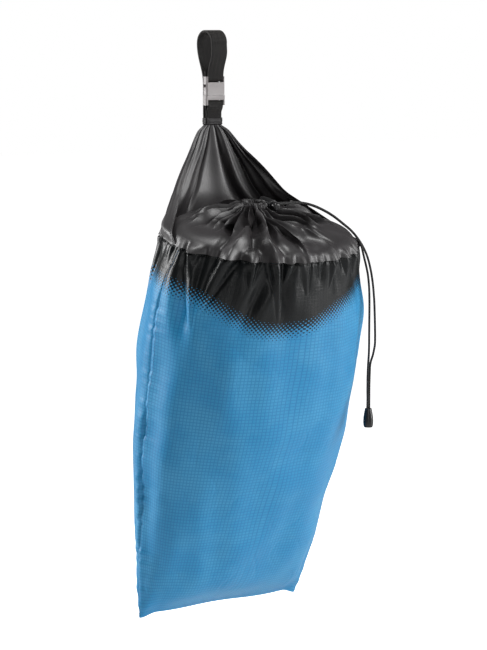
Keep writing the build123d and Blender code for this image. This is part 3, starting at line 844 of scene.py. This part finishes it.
def tunnel_piece():
    """The bunched hem round the drawn cord."""
    rows, cols = 28, 720
    turn = np.linspace(-math.pi, math.pi, cols, endpoint=False)[None, :]
    around = np.linspace(-math.pi, math.pi, rows)[:, None]
    phase = pleat_phase(turn)
    ridge = np.abs(np.sin(phase * 0.75 + 0.35 * np.sin(around + phase / 5))) ** 1.3
    fat = GATHER_R * 0.26 * (0.62 + 0.50 * ridge) * (1 + 0.06 * waves(turn * 10, around, 9, 31))
    ring_a, ring_b = GATHER_R * 0.86, GATHER_R * 0.72
    out = ring_a * np.cos(turn), ring_b * np.sin(turn)
    swing = 0.06 * np.sin(phase)
    cx, cy = np.cos(turn + swing), np.sin(turn + swing)
    x = GATHER[0] + out[0] + fat * np.cos(around) * cx
    y = GATHER[1] + out[1] + fat * np.cos(around) * cy
    z = (NECK_BOTTOM + NECK_TOP) / 2 + fat * 1.6 * np.sin(around) + 0.7 * MM * np.sin(1.5 * phase + 1)
    points = np.stack(np.broadcast_arrays(x, y, z), axis=-1)
    return grid_piece("mouth_hem_bunched", to_row(points), SATIN_CLOTH, True, turn * 0.1, around * 5 * MM)


# ---- hanging flap -------------------------------------------------------------------------------
HEM_WIDTH = 4.4 * MM
FOOT_TUCK = 1.4 * MM
FOOT_DROP = 1.2 * MM
FLAP_ROWS = 150
FLAP_COLS = 240
FLAP_NODES = ("hanging_flap_base", "hanging_flap_fold", "hanging_flap_tip")
FLAP = surface(*FLAP_NODES)


def flap_section(height):
    """Half width, free-edge y and back y of the CAD flap at a height, or None between its pieces."""
    back = hit(FLAP, (0, FAR, height), (0, -1, 0))
    if back is None:
        return None
    for y in np.arange(-5 * MM, back[1], 0.8 * MM):
        side = hit(FLAP, (FAR, y, height), (-1, 0, 0))
        if side is not None:
            return side[0], y, back[1]
    return None


def flap_profile(count):
    co = np.vstack([to_bag(node_points(n)) for n in FLAP_NODES])
    low, high = co[:, 2].min() + 0.6 * MM, co[:, 2].max() - 0.6 * MM
    found = [(h, flap_section(h)) for h in np.linspace(low, high, 90)]
    found = [(h, s) for h, s in found if s is not None]
    heights = np.array([h for h, _ in found])
    table = np.array([s for _, s in found])
    at = np.linspace(low, high, count)
    columns = [blur(np.interp(at, heights, table[:, i]), 5) for i in range(3)]
    return at, columns


def flap_piece():
    height, (half, edge_y, back_y) = flap_profile(FLAP_ROWS)
    span = np.linspace(-1, 1, FLAP_COLS)[None, :]
    turn = span * math.pi / 2
    t = np.linspace(0, 1, FLAP_ROWS)[:, None]
    half, edge_y, back_y = half[:, None], edge_y[:, None], back_y[:, None]
    waist = 1 - 0.05 * np.sin(math.pi * t) * smooth(span, 0.2, 1.0)
    x = half * np.sin(turn) * waist
    y = edge_y + (back_y - edge_y) * np.cos(turn)
    z = height[:, None] + 0 * span
    base = np.stack(np.broadcast_arrays(x, y, z), axis=-1)
    normal = grid_normals(base, False)
    if normal[FLAP_ROWS // 2, FLAP_COLS // 2, 1] < 0:
        normal = -normal
    width = half * 1.6
    fan = smooth(t, 0.0, 0.25) * (1 - 0.75 * smooth(t, 0.9, 1.0))
    folds = [
        (-0.78, 0.050, 2.6), (-0.52, 0.030, 3.4), (-0.30, 0.060, -2.2), (-0.16, 0.022, 3.0),
        (0.06, 0.10, -2.6),
        (0.22, 0.040, 4.6), (0.36, 0.055, -3.0), (0.50, 0.030, 3.6), (0.68, 0.060, -2.4), (0.82, 0.035, 3.0),
    ]
    d = np.zeros_like(x)
    for place, wide, deep in folds:
        wander = 0.05 * np.sin(3.0 * t + place * 9)
        d = d + deep * MM * fan * bump(span - place - wander, wide)
    d = d + 1.3 * MM * waves(x, z, 70 * MM, 41) * smooth(t, 0.05, 0.3) * (1 - smooth(t, 0.8, 0.97))
    d = d * np.minimum(1, width / (60 * MM))
    edge = 1 - np.abs(span)
    hem_in = edge * half * 1.57
    d = d + 0.7 * MM * (bump(hem_in - 1.2 * MM, 1.4 * MM) - 0.8 * bump(hem_in - HEM_WIDTH, 0.9 * MM))
    points = base + normal * d[..., None]
    place = np.arctan2(points[..., 1] / MOUTH_B, points[..., 0] / MOUTH_A)
    sewn = 1 - smooth(z, 0.5 * MM, 9 * MM)
    outward = np.stack([np.cos(place) / MOUTH_A, np.sin(place) / MOUTH_B, 0 * z], axis=-1)
    outward = outward / np.linalg.norm(outward, axis=-1, keepdims=True)
    points = points + outward * ((seam_wave(place) - FOOT_TUCK) * sewn)[..., None]
    points[..., 2] -= FOOT_DROP * sewn
    sheet = grid_piece("hanging_flap_satin", to_row(points), SATIN_FLAP_PAINTED_LIGHT, False, x + 0 * t, z)
    return thicken(sheet, 0.7 * MM, 0.0), points


# ---- woven tape ---------------------------------------------------------------------------------
TAPE_STEP = 0.5 * MM
TAPE_EDGE = 0.35 * MM


def solids(name):
    """The separate solids of a CAD node, each as its own list of vertices."""
    mesh = frame["nodes"][name].data
    owner = list(range(len(mesh.vertices)))

    def top(i):
        while owner[i] != i:
            owner[i] = owner[owner[i]]
            i = owner[i]
        return i

    for edge in mesh.edges:
        a, b = (top(i) for i in edge.vertices)
        owner[a] = b
    co = node_points(name)
    seen = {}
    keys = {}
    for i, point in enumerate(co):
        keys.setdefault(tuple(np.round(point / (0.001 * MM)).astype(int)), []).append(i)
    for same in keys.values():
        for i in same[1:]:
            owner[top(i)] = top(same[0])
    for i in range(len(co)):
        seen.setdefault(top(i), []).append(i)
    return [co[i] for i in seen.values()]


def tape_path(name):
    """The middle line (y, z) of a flat band that was extruded along x, from its end face's outline."""
    mesh = frame["nodes"][name].data
    co = node_points(name)
    side = co[:, 0].max()
    count = {}
    spot = np.round(co[:, 1:] / (0.002 * MM)).astype(int)
    for face in mesh.polygons:
        if all(co[i, 0] > side - 0.01 * MM for i in face.vertices):
            for a, b in face.edge_keys:
                key = frozenset((tuple(spot[a]), tuple(spot[b])))
                count[key] = count.get(key, 0) + 1
    links = {}
    for key, uses in count.items():
        if uses == 1 and len(key) == 2:
            a, b = key
            links.setdefault(a, []).append(b)
            links.setdefault(b, []).append(a)
    start = next(iter(links))
    outline, before, here = [start], None, start
    while True:
        step = [n for n in links[here] if n != before]
        before, here = here, step[0]
        if here == start:
            break
        outline.append(here)
    outline = np.array(outline) * 0.002 * MM
    return halves(outline)


def halves(outline):
    """The middle line between the two long sides of a thin closed outline, cut at its two short ends."""
    n = len(outline)
    edge = np.linalg.norm(np.roll(outline, -1, axis=0) - outline, axis=1)
    into = outline - np.roll(outline, 1, axis=0)
    out = np.roll(outline, -1, axis=0) - outline
    bend = np.abs(np.arctan2(into[:, 0] * out[:, 1] - into[:, 1] * out[:, 0], (into * out).sum(axis=1)))
    sharp = bend > 1.2
    ends = [i for i in range(n) if sharp[i] and sharp[(i + 1) % n] and edge[i] < 2.2 * MM]
    first, second = ends[0], ends[-1]
    one = outline[np.arange(first + 1, second + 1)]
    two = outline[np.arange(second + 1, first + 1 + n) % n][::-1]
    a, b = (resample(np.column_stack([np.zeros(len(side)), side]), 0.2 * MM) for side in (one, two))
    share = np.linspace(0, 1, 400)
    a, b = (along_path(share, np.linspace(0, 1, len(side)), side) for side in (a, b))
    return (a + b) / 2, np.linalg.norm(a - b, axis=1).mean()


def tape(name, path, thickness, width):
    """Woven tape along a path in the plane x = 0, with rounded selvedges."""
    path = resample(path, TAPE_STEP)
    run = path_run(path)
    tangent = np.gradient(path, axis=0)
    tangent /= np.linalg.norm(tangent, axis=1, keepdims=True)
    out = np.column_stack([np.zeros(len(path)), -tangent[:, 2], tangent[:, 1]])
    half_w, half_t = width / 2, thickness / 2
    turn = np.linspace(0, math.pi, 7)
    cap = np.column_stack([half_w - TAPE_EDGE + TAPE_EDGE * np.sin(turn), half_t * np.cos(turn)])
    flat = np.linspace(half_w - TAPE_EDGE, -half_w + TAPE_EDGE, 22)[1:-1]
    back = np.column_stack([flat, np.full(len(flat), -half_t)])
    section = np.vstack([cap, back, -cap, -back])
    points = path[:, None] + out[:, None] * section[None, :, 1:]
    points[..., 0] = section[None, :, 0]
    rows, cols = points.shape[:2]
    faces = grid_faces(rows, cols, True) + end_caps(rows, cols)
    piece = new_object(name, points.reshape(-1, 3), faces, WEBBING)
    store(piece, "cloth_u", np.broadcast_to(section[None, :, 0], (rows, cols)))
    store(piece, "cloth_v", np.broadcast_to(run[:, None], (rows, cols)))
    return piece


def tapes():
    """The loop, its front leg and the anchor strap."""
    low = box("strap_ends")[0][2]
    loop_path, loop_thick = tape_path("loop_webbing")
    strap_path, strap_thick = tape_path("anchor_strap")
    leg_path, leg_thick = tape_path("loop_front_leg")
    width = np.ptp(node_points("loop_webbing")[:, 0]) - 0.1 * MM
    layers = sorted((s[:, 1].min() + s[:, 1].max()) / 2 for s in solids("strap_ends"))
    if loop_path[0][2] < loop_path[-1][2]:
        loop_path = loop_path[::-1]
    loop_path = ease_down(loop_path, layers[2], low)
    strap_path = ease_down(strap_path, layers[0] if strap_path[-1][1] < strap_path[0][1] else layers[1], low)
    other_layer = layers[1] if strap_path[-1][1] < strap_path[0][1] else layers[0]
    strap_path = ease_down(strap_path[::-1], other_layer, low)
    leg_top = 0 if leg_path[0][2] > leg_path[-1][2] else -1
    leg_path[leg_top] = loop_path[0]
    loop = tape("hanging_loop_tape", loop_path, loop_thick - 0.05 * MM, width)
    strap = tape("anchor_strap_tape", strap_path, strap_thick - 0.05 * MM, width - 0.6 * MM)
    leg = tape("front_leg_tape", leg_path, leg_thick - 0.05 * MM, width)
    return loop, strap, leg


def ease_down(path, y, low):
    """A path whose last end eases over to y and runs on down to a height."""
    tip = path[-1]
    z = np.linspace(tip[2], low, 40)[1:]
    along = smooth(tip[2] - z, 0, 4 * MM)
    more = np.column_stack([0 * z, tip[1] + (y - tip[1]) * along, z])
    return np.vstack([path, more])


# ---- cords --------------------------------------------------------------------------------------
CORD_SIDES = 14
CORD_STEP = 0.7 * MM


def centre_line(points, direction, step):
    """The middle of a round cord, from slices of its vertices along a direction."""
    along = points @ direction
    edges = np.arange(along.min(), along.max() + step, step)
    slot = np.digitize(along, edges)
    return np.array([points[slot == k].mean(axis=0) for k in sorted(set(slot)) if (slot == k).sum() > 3])


def ring_line(points, count=160):
    """The middle of the cord that lies round the gather, from slices by angle."""
    local = to_bag(points)
    centre = (local.min(axis=0) + local.max(axis=0)) / 2
    angle = np.arctan2(local[:, 1] - centre[1], local[:, 0] - centre[0]) % (2 * math.pi)
    edges = np.linspace(angle.min(), angle.max(), count)
    slot = np.digitize(angle, edges)
    return to_row([local[slot == k].mean(axis=0) for k in sorted(set(slot)) if (slot == k).sum() > 3])


def evened(path, rounds=6):
    """A path with the small steps of its slices smoothed away."""
    path = resample(path, 2.0 * MM)
    for _ in range(rounds):
        path[1:-1] = (path[:-2] + 2 * path[1:-1] + path[2:]) / 4
    return path


def straight_under_lock(path):
    """A strand made straight along the cord lock's travel, as its CAD cord is."""
    lock_end = to_bag(node_points("cord_lock_body"))[:, 0].max() + joint("cord_lock_slide")["range_m"][1]
    local = to_bag(path)
    count = int(np.argmax(local[:, 0] > lock_end + 1 * MM))
    local[:count, 1:] = np.median(local[: count // 2, 1:], axis=0)
    return to_row(local)


def cords():
    """Each strand in one piece, from the gather over the mouth seam and down to the cord end."""
    tail_points = solids("drawcord_tails")
    run_points = solids("drawcord_run")
    radius = min(np.ptp(s[s[:, 2] < s[:, 2].min() + 20 * MM][:, 1]) for s in tail_points) / 2
    radius = min(radius, 1.2 * MM) * 0.98
    slope = to_row([[1, 0, -1]])[0] - to_row([[0, 0, 0]])[0]
    runs = [centre_line(s, slope / np.linalg.norm(slope), 3 * MM) for s in run_points]
    tails = [centre_line(s, np.array([0, 0, -1.0]), 5 * MM) for s in tail_points]
    made = []
    for index, run in enumerate(sorted(runs, key=lambda r: r[0] @ BAG_AXES[1])):
        tail = min(tails, key=lambda q: np.linalg.norm(q[0] - run[-1]))
        path = resample(straight_under_lock(evened(np.vstack([run, tail]))), CORD_STEP)
        made.append(tube(f"drawcord_strand_{index}", path, radius, BRAID, CORD_SIDES))
    ring = resample(evened(ring_line(node_points("drawcord_ring"))), CORD_STEP)
    return made, tube("drawcord_in_hem", ring, radius, BRAID, CORD_SIDES)


def knot():
    """An overhand knot in the two cord ends, inside the bell."""
    low, high = box("cord_knot")
    centre, reach = (low + high) / 2, (high[0] - low[0]) / 2
    t = np.linspace(0, 2 * math.pi, 140)
    thick = 0.34 * reach
    wide = reach - thick
    path = np.column_stack([
        (np.sin(t) + 2 * np.sin(2 * t)) / 3, (np.cos(t) - 2 * np.cos(2 * t)) / 3, -np.sin(3 * t) * 0.75,
    ]) * wide + centre
    return tube("cord_end_knot", path, thick, BRAID, 12)


# ---- stitches -----------------------------------------------------------------------------------
STITCH_RINGS = 5
STITCH_SHARE = 0.68


def stitches(name, path, pitch, radius, material, sink):
    """A row of separate stitches along a path, each a short bent thread whose ends dip into the cloth."""
    path, dips = path
    run = path_run(path)
    count = int(run[-1] / pitch)
    verts, faces = [], []
    shape = np.linspace(0, 1, STITCH_RINGS)
    sides = 5
    turn = np.linspace(0, 2 * math.pi, sides, endpoint=False)
    for k in range(count):
        at = (k + (1 - STITCH_SHARE) / 2 + STITCH_SHARE * shape) * pitch
        line, inward = along_path(at, run, path), along_path(at, run, dips)
        line = line + inward * (sink * (2 * np.abs(shape - 0.5)) ** 3)[:, None]
        ahead = line[-1] - line[0]
        length = np.linalg.norm(ahead)
        if length < 1e-6:
            continue
        ahead /= length
        up = -inward[2] / np.linalg.norm(inward[2])
        side = np.cross(ahead, up)
        fat = radius * np.array([0.6, 0.95, 1.0, 0.95, 0.6])
        ring = side[None] * np.cos(turn)[:, None] + up[None] * np.sin(turn)[:, None]
        start = len(verts)
        verts += list((line[:, None] + ring[None] * fat[:, None, None]).reshape(-1, 3))
        faces += [[start + i for i in f] for f in grid_faces(STITCH_RINGS, sides, True)]
        faces += end_caps(STITCH_RINGS, sides, start)
    return new_object(name, verts, faces, material)


def row_on_grid(points, rows, cols, lift, closed=False):
    """A path over a grid surface through given (fractional) rows and columns, lifted off it."""
    normals = grid_normals(points, closed)
    centre = points.mean(axis=(0, 1))
    if ((points - centre) * normals).sum() < 0:
        normals = -normals
    r = np.clip(np.asarray(rows, float), 0, points.shape[0] - 1.001)
    c = np.asarray(cols, float)
    r, c = np.broadcast_arrays(r, c)
    width = points.shape[1]
    c = c % width if closed else np.clip(c, 0, width - 1.001)

    def sample(field):
        r0, c0 = np.floor(r).astype(int), np.floor(c).astype(int)
        fr, fc = (r - r0)[:, None], (c - c0)[:, None]
        c1 = (c0 + 1) % width
        top = field[r0, c0] * (1 - fc) + field[r0, c1] * fc
        low = field[r0 + 1, c0] * (1 - fc) + field[r0 + 1, c1] * fc
        return top * (1 - fr) + low * fr

    place, normal = sample(points), sample(normals)
    normal /= np.linalg.norm(normal, axis=1, keepdims=True)
    return to_row(place + normal * lift), -normal @ BAG_AXES


# ---- the flap's tip, folded round the straps -------------------------------------------------------
PATCH_ROWS = 40
PATCH_COLS = 220


def patch_piece():
    """A flattened cloth sleeve, its top edge turned in and its foot eased over the flap's tip."""
    low, high = box("apex_patch")
    centre = (low + high) / 2
    half = (high - low) / 2 - 0.1 * MM
    turn = np.linspace(-math.pi, math.pi, PATCH_COLS, endpoint=False)[None, :]
    t = np.linspace(0, 1, PATCH_ROWS)[:, None]
    corner = 0.30
    x = np.sign(np.cos(turn)) * np.abs(np.cos(turn)) ** corner
    y = np.sign(np.sin(turn)) * np.abs(np.sin(turn)) ** corner
    inward = 0.9 * MM * smooth(t, 0.90, 1.0) + 0.5 * MM * (1 - smooth(t, 0.0, 0.10))
    puff = -0.25 * MM * bump(t - 0.30, 0.05) + 0.12 * MM * waves(turn * 4, t * 3, 2.2, 61)
    px = centre[0] + x * (half[0] - inward + puff * 0.6)
    py = centre[1] + y * (half[1] - inward + puff)
    pz = low[2] + (high[2] - low[2]) * np.minimum(t * 1.04, 1.0) - 0.8 * MM * smooth(t, 0.965, 1.0) + 0 * turn
    points = np.stack(np.broadcast_arrays(px, py, pz), axis=-1)
    sleeve = grid_piece("apex_patch_satin", points, SATIN_PATCH_PAINTED_SHADE, True, turn * half[0], pz)
    return thicken(sleeve, 0.35 * MM)


def facing_row(corners):
    """A stitch line through corners on a face that looks to the front."""
    path = resample(np.array(corners), 0.3 * MM)
    return path, np.tile([0, 1.0, 0], (len(path), 1))


def box_stitch():
    """The stitched box on the front of the patch."""
    low, high = box("apex_stitching")
    y = box("apex_patch")[0][1]
    x0, x1, z0, z1 = low[0], high[0], low[2], high[2]
    corners = [(x0, y, z0), (x1, y, z0), (x1, y, z1), (x0, y, z1), (x0, y, z0)]
    return stitches("apex_box_stitches", facing_row(corners), 2.2 * MM, 0.22 * MM, THREAD_DARK, 0.5 * MM)


def tack_stitch(front):
    """Rows that close the anchor strap under the plug."""
    rows = []
    for solid in solids("strap_tack_stitching"):
        z = (solid[:, 2].min() + solid[:, 2].max()) / 2
        row = facing_row([(solid[:, 0].min(), front, z), (solid[:, 0].max(), front, z)])
        rows.append(stitches("tack_row", row, 1.9 * MM, 0.24 * MM, THREAD_DARK, 0.5 * MM))
    return join("anchor_strap_tacks", rows)


def seam_stitches(body_grid, collar_grid, flap_grid):
    """Rows of stitching on the cloth: the bag's seams, round the collar and down the flap's hems."""
    rows, cols = body_grid.shape[:2]
    down = np.linspace(3, rows * 0.985, 500)
    made = {}
    offset = cols * 0.006
    sides = [stitches("side_row", row_on_grid(body_grid, down, np.full(500, c), 0.15 * MM, True), 2.8 * MM,
                      0.20 * MM, THREAD_BLUE, 0.6 * MM) for c in (offset, cols / 2 - offset)]
    made["side_seam_threads"] = join("side_seam_stitches", sides)
    around = np.linspace(0, cols, 1600)
    foot = row_on_grid(body_grid, np.full(1600, rows * 0.978), around, 0.1 * MM, True)
    made["bottom_seam_thread"] = stitches(
        "bottom_seam_stitches", foot, 2.8 * MM, 0.20 * MM, THREAD_BLUE, 0.6 * MM
    )
    rim = row_on_grid(body_grid, np.full(1600, 1.6), around, 0.12 * MM, True)
    made["collar_seam_thread"] = stitches(
        "mouth_seam_stitches", rim, 2.6 * MM, 0.22 * MM, THREAD_DARK, 0.7 * MM
    )
    crows, ccols = collar_grid.shape[:2]
    top = row_on_grid(collar_grid, np.full(1600, crows * 0.86), np.linspace(0, ccols, 1600), 0.12 * MM, True)
    made["tunnel_thread"] = stitches("tunnel_stitches", top, 2.0 * MM, 0.18 * MM, THREAD_DARK, 0.5 * MM)
    frows, fcols = flap_grid.shape[:2]
    up = np.linspace(4, frows * 0.93, 500)
    width = np.interp(up, np.arange(frows), np.linalg.norm(np.diff(flap_grid, axis=1), axis=2).sum(axis=1))
    hem = HEM_WIDTH / width * fcols
    hems = []
    for place in (hem, fcols - 1 - hem):
        hems.append(stitches("hem_row", row_on_grid(flap_grid, up, place, 0.45 * MM), 2.8 * MM, 0.20 * MM,
                             THREAD_DARK, 0.5 * MM))
    made["flap_hems"] = join("flap_hem_stitches", hems)
    return made


# ---- stage --------------------------------------------------------------------------------------
VIEW_TURN = math.radians(38)
VIEW_DOWN = math.radians(6.55)
VIEW_DISTANCE = 2.767
VIEW_HEIGHT = 0.025
VIEW_AIM = (0.0, -0.040)
VIEW_LENS = 147.1
VIEW_SHIFT = (0.0125, -0.0018)
FLOOR_DROP = 0.25
FLOOR_GLOW = 0.95
SKY = 0.13


def camera():
    data = bpy.data.cameras.new("photo_view")
    data.lens = VIEW_LENS
    data.sensor_fit = "VERTICAL"
    data.sensor_height = 36
    data.shift_x, data.shift_y = VIEW_SHIFT
    data.clip_end = 50
    view = bpy.data.objects.new("photo_view", data)
    x = VIEW_AIM[0] - math.sin(VIEW_TURN) * VIEW_DISTANCE
    y = VIEW_AIM[1] - math.cos(VIEW_TURN) * VIEW_DISTANCE
    view.location = (x, y, VIEW_HEIGHT)
    view.rotation_euler = (math.pi / 2 - VIEW_DOWN, 0, -VIEW_TURN)
    bpy.context.scene.collection.objects.link(view)
    bpy.context.scene.camera = view


def area_light(name, place, target, size, power, colour=(1, 1, 1)):
    data = bpy.data.lights.new(name, "AREA")
    data.shape = "RECTANGLE"
    data.size, data.size_y = size
    data.energy = power
    data.color = colour
    lamp = bpy.data.objects.new(name, data)
    lamp.location = place
    aim = Vector(target) - Vector(place)
    lamp.rotation_euler = aim.to_track_quat("-Z", "Y").to_euler()
    bpy.context.scene.collection.objects.link(lamp)


def floor():
    low = cad_box[0]
    size = 12.0
    corners = [(-size, -size), (size, -size), (size, size), (-size, size)]
    s = Shader("pale_floor")
    grain = s.noise(30, 3)
    paint = s.mix(grain, (0.84, 0.84, 0.84), (0.88, 0.88, 0.88))
    seen = s.node("LightPath").outputs["Is Camera Ray"]
    glow = s.times(seen, FLOOR_GLOW)
    material = s.finish(Base_Color=paint, Roughness=0.9, Emission_Color=(1, 1, 1), Emission_Strength=glow)
    verts = [(x, y, low[2] - FLOOR_DROP) for x, y in corners]
    plate = new_object("floor", verts, [[0, 1, 2, 3]], material, False)


def world():
    made = bpy.data.worlds.new("studio")
    bpy.context.scene.world = made
    made.use_nodes = True
    nodes, links = made.node_tree.nodes, made.node_tree.links
    background = nodes["Background"]
    path = nodes.new("ShaderNodeLightPath")
    mixer = nodes.new("ShaderNodeMix")
    mixer.data_type = "FLOAT"
    mixer.inputs[2].default_value = SKY
    mixer.inputs[3].default_value = 1.0
    links.new(path.outputs["Is Camera Ray"], mixer.inputs[0])
    links.new(mixer.outputs[0], background.inputs["Strength"])
    background.inputs["Color"].default_value = (1, 1, 1, 1)


def stage():
    camera()
    floor()
    world()
    centre = (0.0, -0.06, -0.30)
    area_light("right_softbox", (2.1, -1.9, 0.5), centre, (1.4, 2.0), 84)
    area_light("left_rim", (-1.65, 2.1, 0.6), centre, (0.9, 1.7), 90)
    area_light("top", (-0.3, -0.3, 1.9), centre, (0.6, 0.6), 26)
    area_light("front", (-1.3, -2.4, 0.2), centre, (0.5, 1.4), 9)
    bpy.context.scene.view_settings.view_transform = "Standard"


# ---- build --------------------------------------------------------------------------------------
def set_piece(piece, body, slot, *nodes):
    """A piece rides on one body and stands for these CAD nodes, which are hidden; slot is not used."""
    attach(piece, body)
    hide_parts(*nodes)


def set_bend(piece, bodies, ends, slot, *nodes):
    """Bakes a piece's placement into its mesh and hides these CAD nodes; bodies, ends and slot are not used.
    """
    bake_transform(piece)
    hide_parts(*nodes)


body, body_points = body_piece()
set_piece(body, "bag", "ripstop", "front_panel", "back_panel")
collar, collar_grid = collar_piece()
set_piece(collar, "bag", "satin", "mouth_collar")
set_piece(tunnel_piece(), "bag", "satin", "cord_tunnel")

flap, flap_points = flap_piece()
fold = joint("flap_fold")["pos_m"]
FOLD_REACH = 14 * MM
fold_ends = [(fold[0], fold[1], fold[2] + reach) for reach in (-FOLD_REACH, FOLD_REACH)]
set_bend(flap, ("bag", "flap"), fold_ends, "satin", *FLAP_NODES)

loop_fold = joint("loop_fold")["pos_m"]
strap_ends = [(loop_fold[0], loop_fold[1], corner[2]) for corner in box("strap_fold")]
loop_tape, strap_tape, leg_tape = tapes()
set_bend(loop_tape, ("flap", "loop"), strap_ends, "webbing", "loop_webbing", "strap_ends", "strap_fold")
set_bend(strap_tape, ("flap", "loop"), strap_ends, "webbing", "anchor_strap")
set_piece(leg_tape, "loop", "webbing", "loop_front_leg")
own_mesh(leg_tape)

set_piece(patch_piece(), "flap", "satin", "apex_patch")
set_piece(box_stitch(), "flap", "thread", "apex_stitching")
set_piece(tack_stitch(box("anchor_strap")[0][1]), "loop", "thread", "strap_tack_stitching")
rows_of_thread = seam_stitches(body_points, collar_grid, flap_points)
hem_threads = ("flap_base_hem_threads", "flap_tip_hem_threads")
set_bend(rows_of_thread.pop("flap_hems"), ("bag", "flap"), fold_ends, "thread", *hem_threads)
for node_name, row in rows_of_thread.items():
    set_piece(row, "bag", "thread", node_name)

strands, ring = cords()
shoulder = joint("cord_tail_swing")["pos_m"]
shoulder_ends = [(shoulder[0], shoulder[1], shoulder[2] + drop) for drop in (6 * MM, -10 * MM)]
set_bend(strands[0], ("bag", "cord_tail"), shoulder_ends, "cord", "drawcord_run", "drawcord_tails")
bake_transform(strands[1])
set_piece(ring, "bag", "cord", "drawcord_ring")
set_piece(knot(), "cord_tail", "cord", "cord_knot")

for name, material in (
    ("buckle_housing", BUCKLE), ("buckle_plug", BUCKLE), ("prong_left", BUCKLE), ("prong_right", BUCKLE),
    ("cord_lock_body", LOCK), ("cord_lock_plunger", LOCK), ("cord_end_cap", LOCK),
):
    node = frame["nodes"][name]
    node.data.materials.clear()
    node.data.materials.append(material)
    soften = node.modifiers.new("soft_edges", "BEVEL")
    soften.width = 0.35 * MM
    soften.segments = 3
    soften.limit_method = "ANGLE"
    soften.harden_normals = True

coil_points = node_points("cord_lock_spring")
coil_faces = [list(f.vertices) for f in frame["nodes"]["cord_lock_spring"].data.polygons]
spring = new_object("lock_spring_coil", coil_points, coil_faces, STEEL)
set_piece(spring, "cord_lock", "spring_steel", "cord_lock_spring")
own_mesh(spring)

stage()
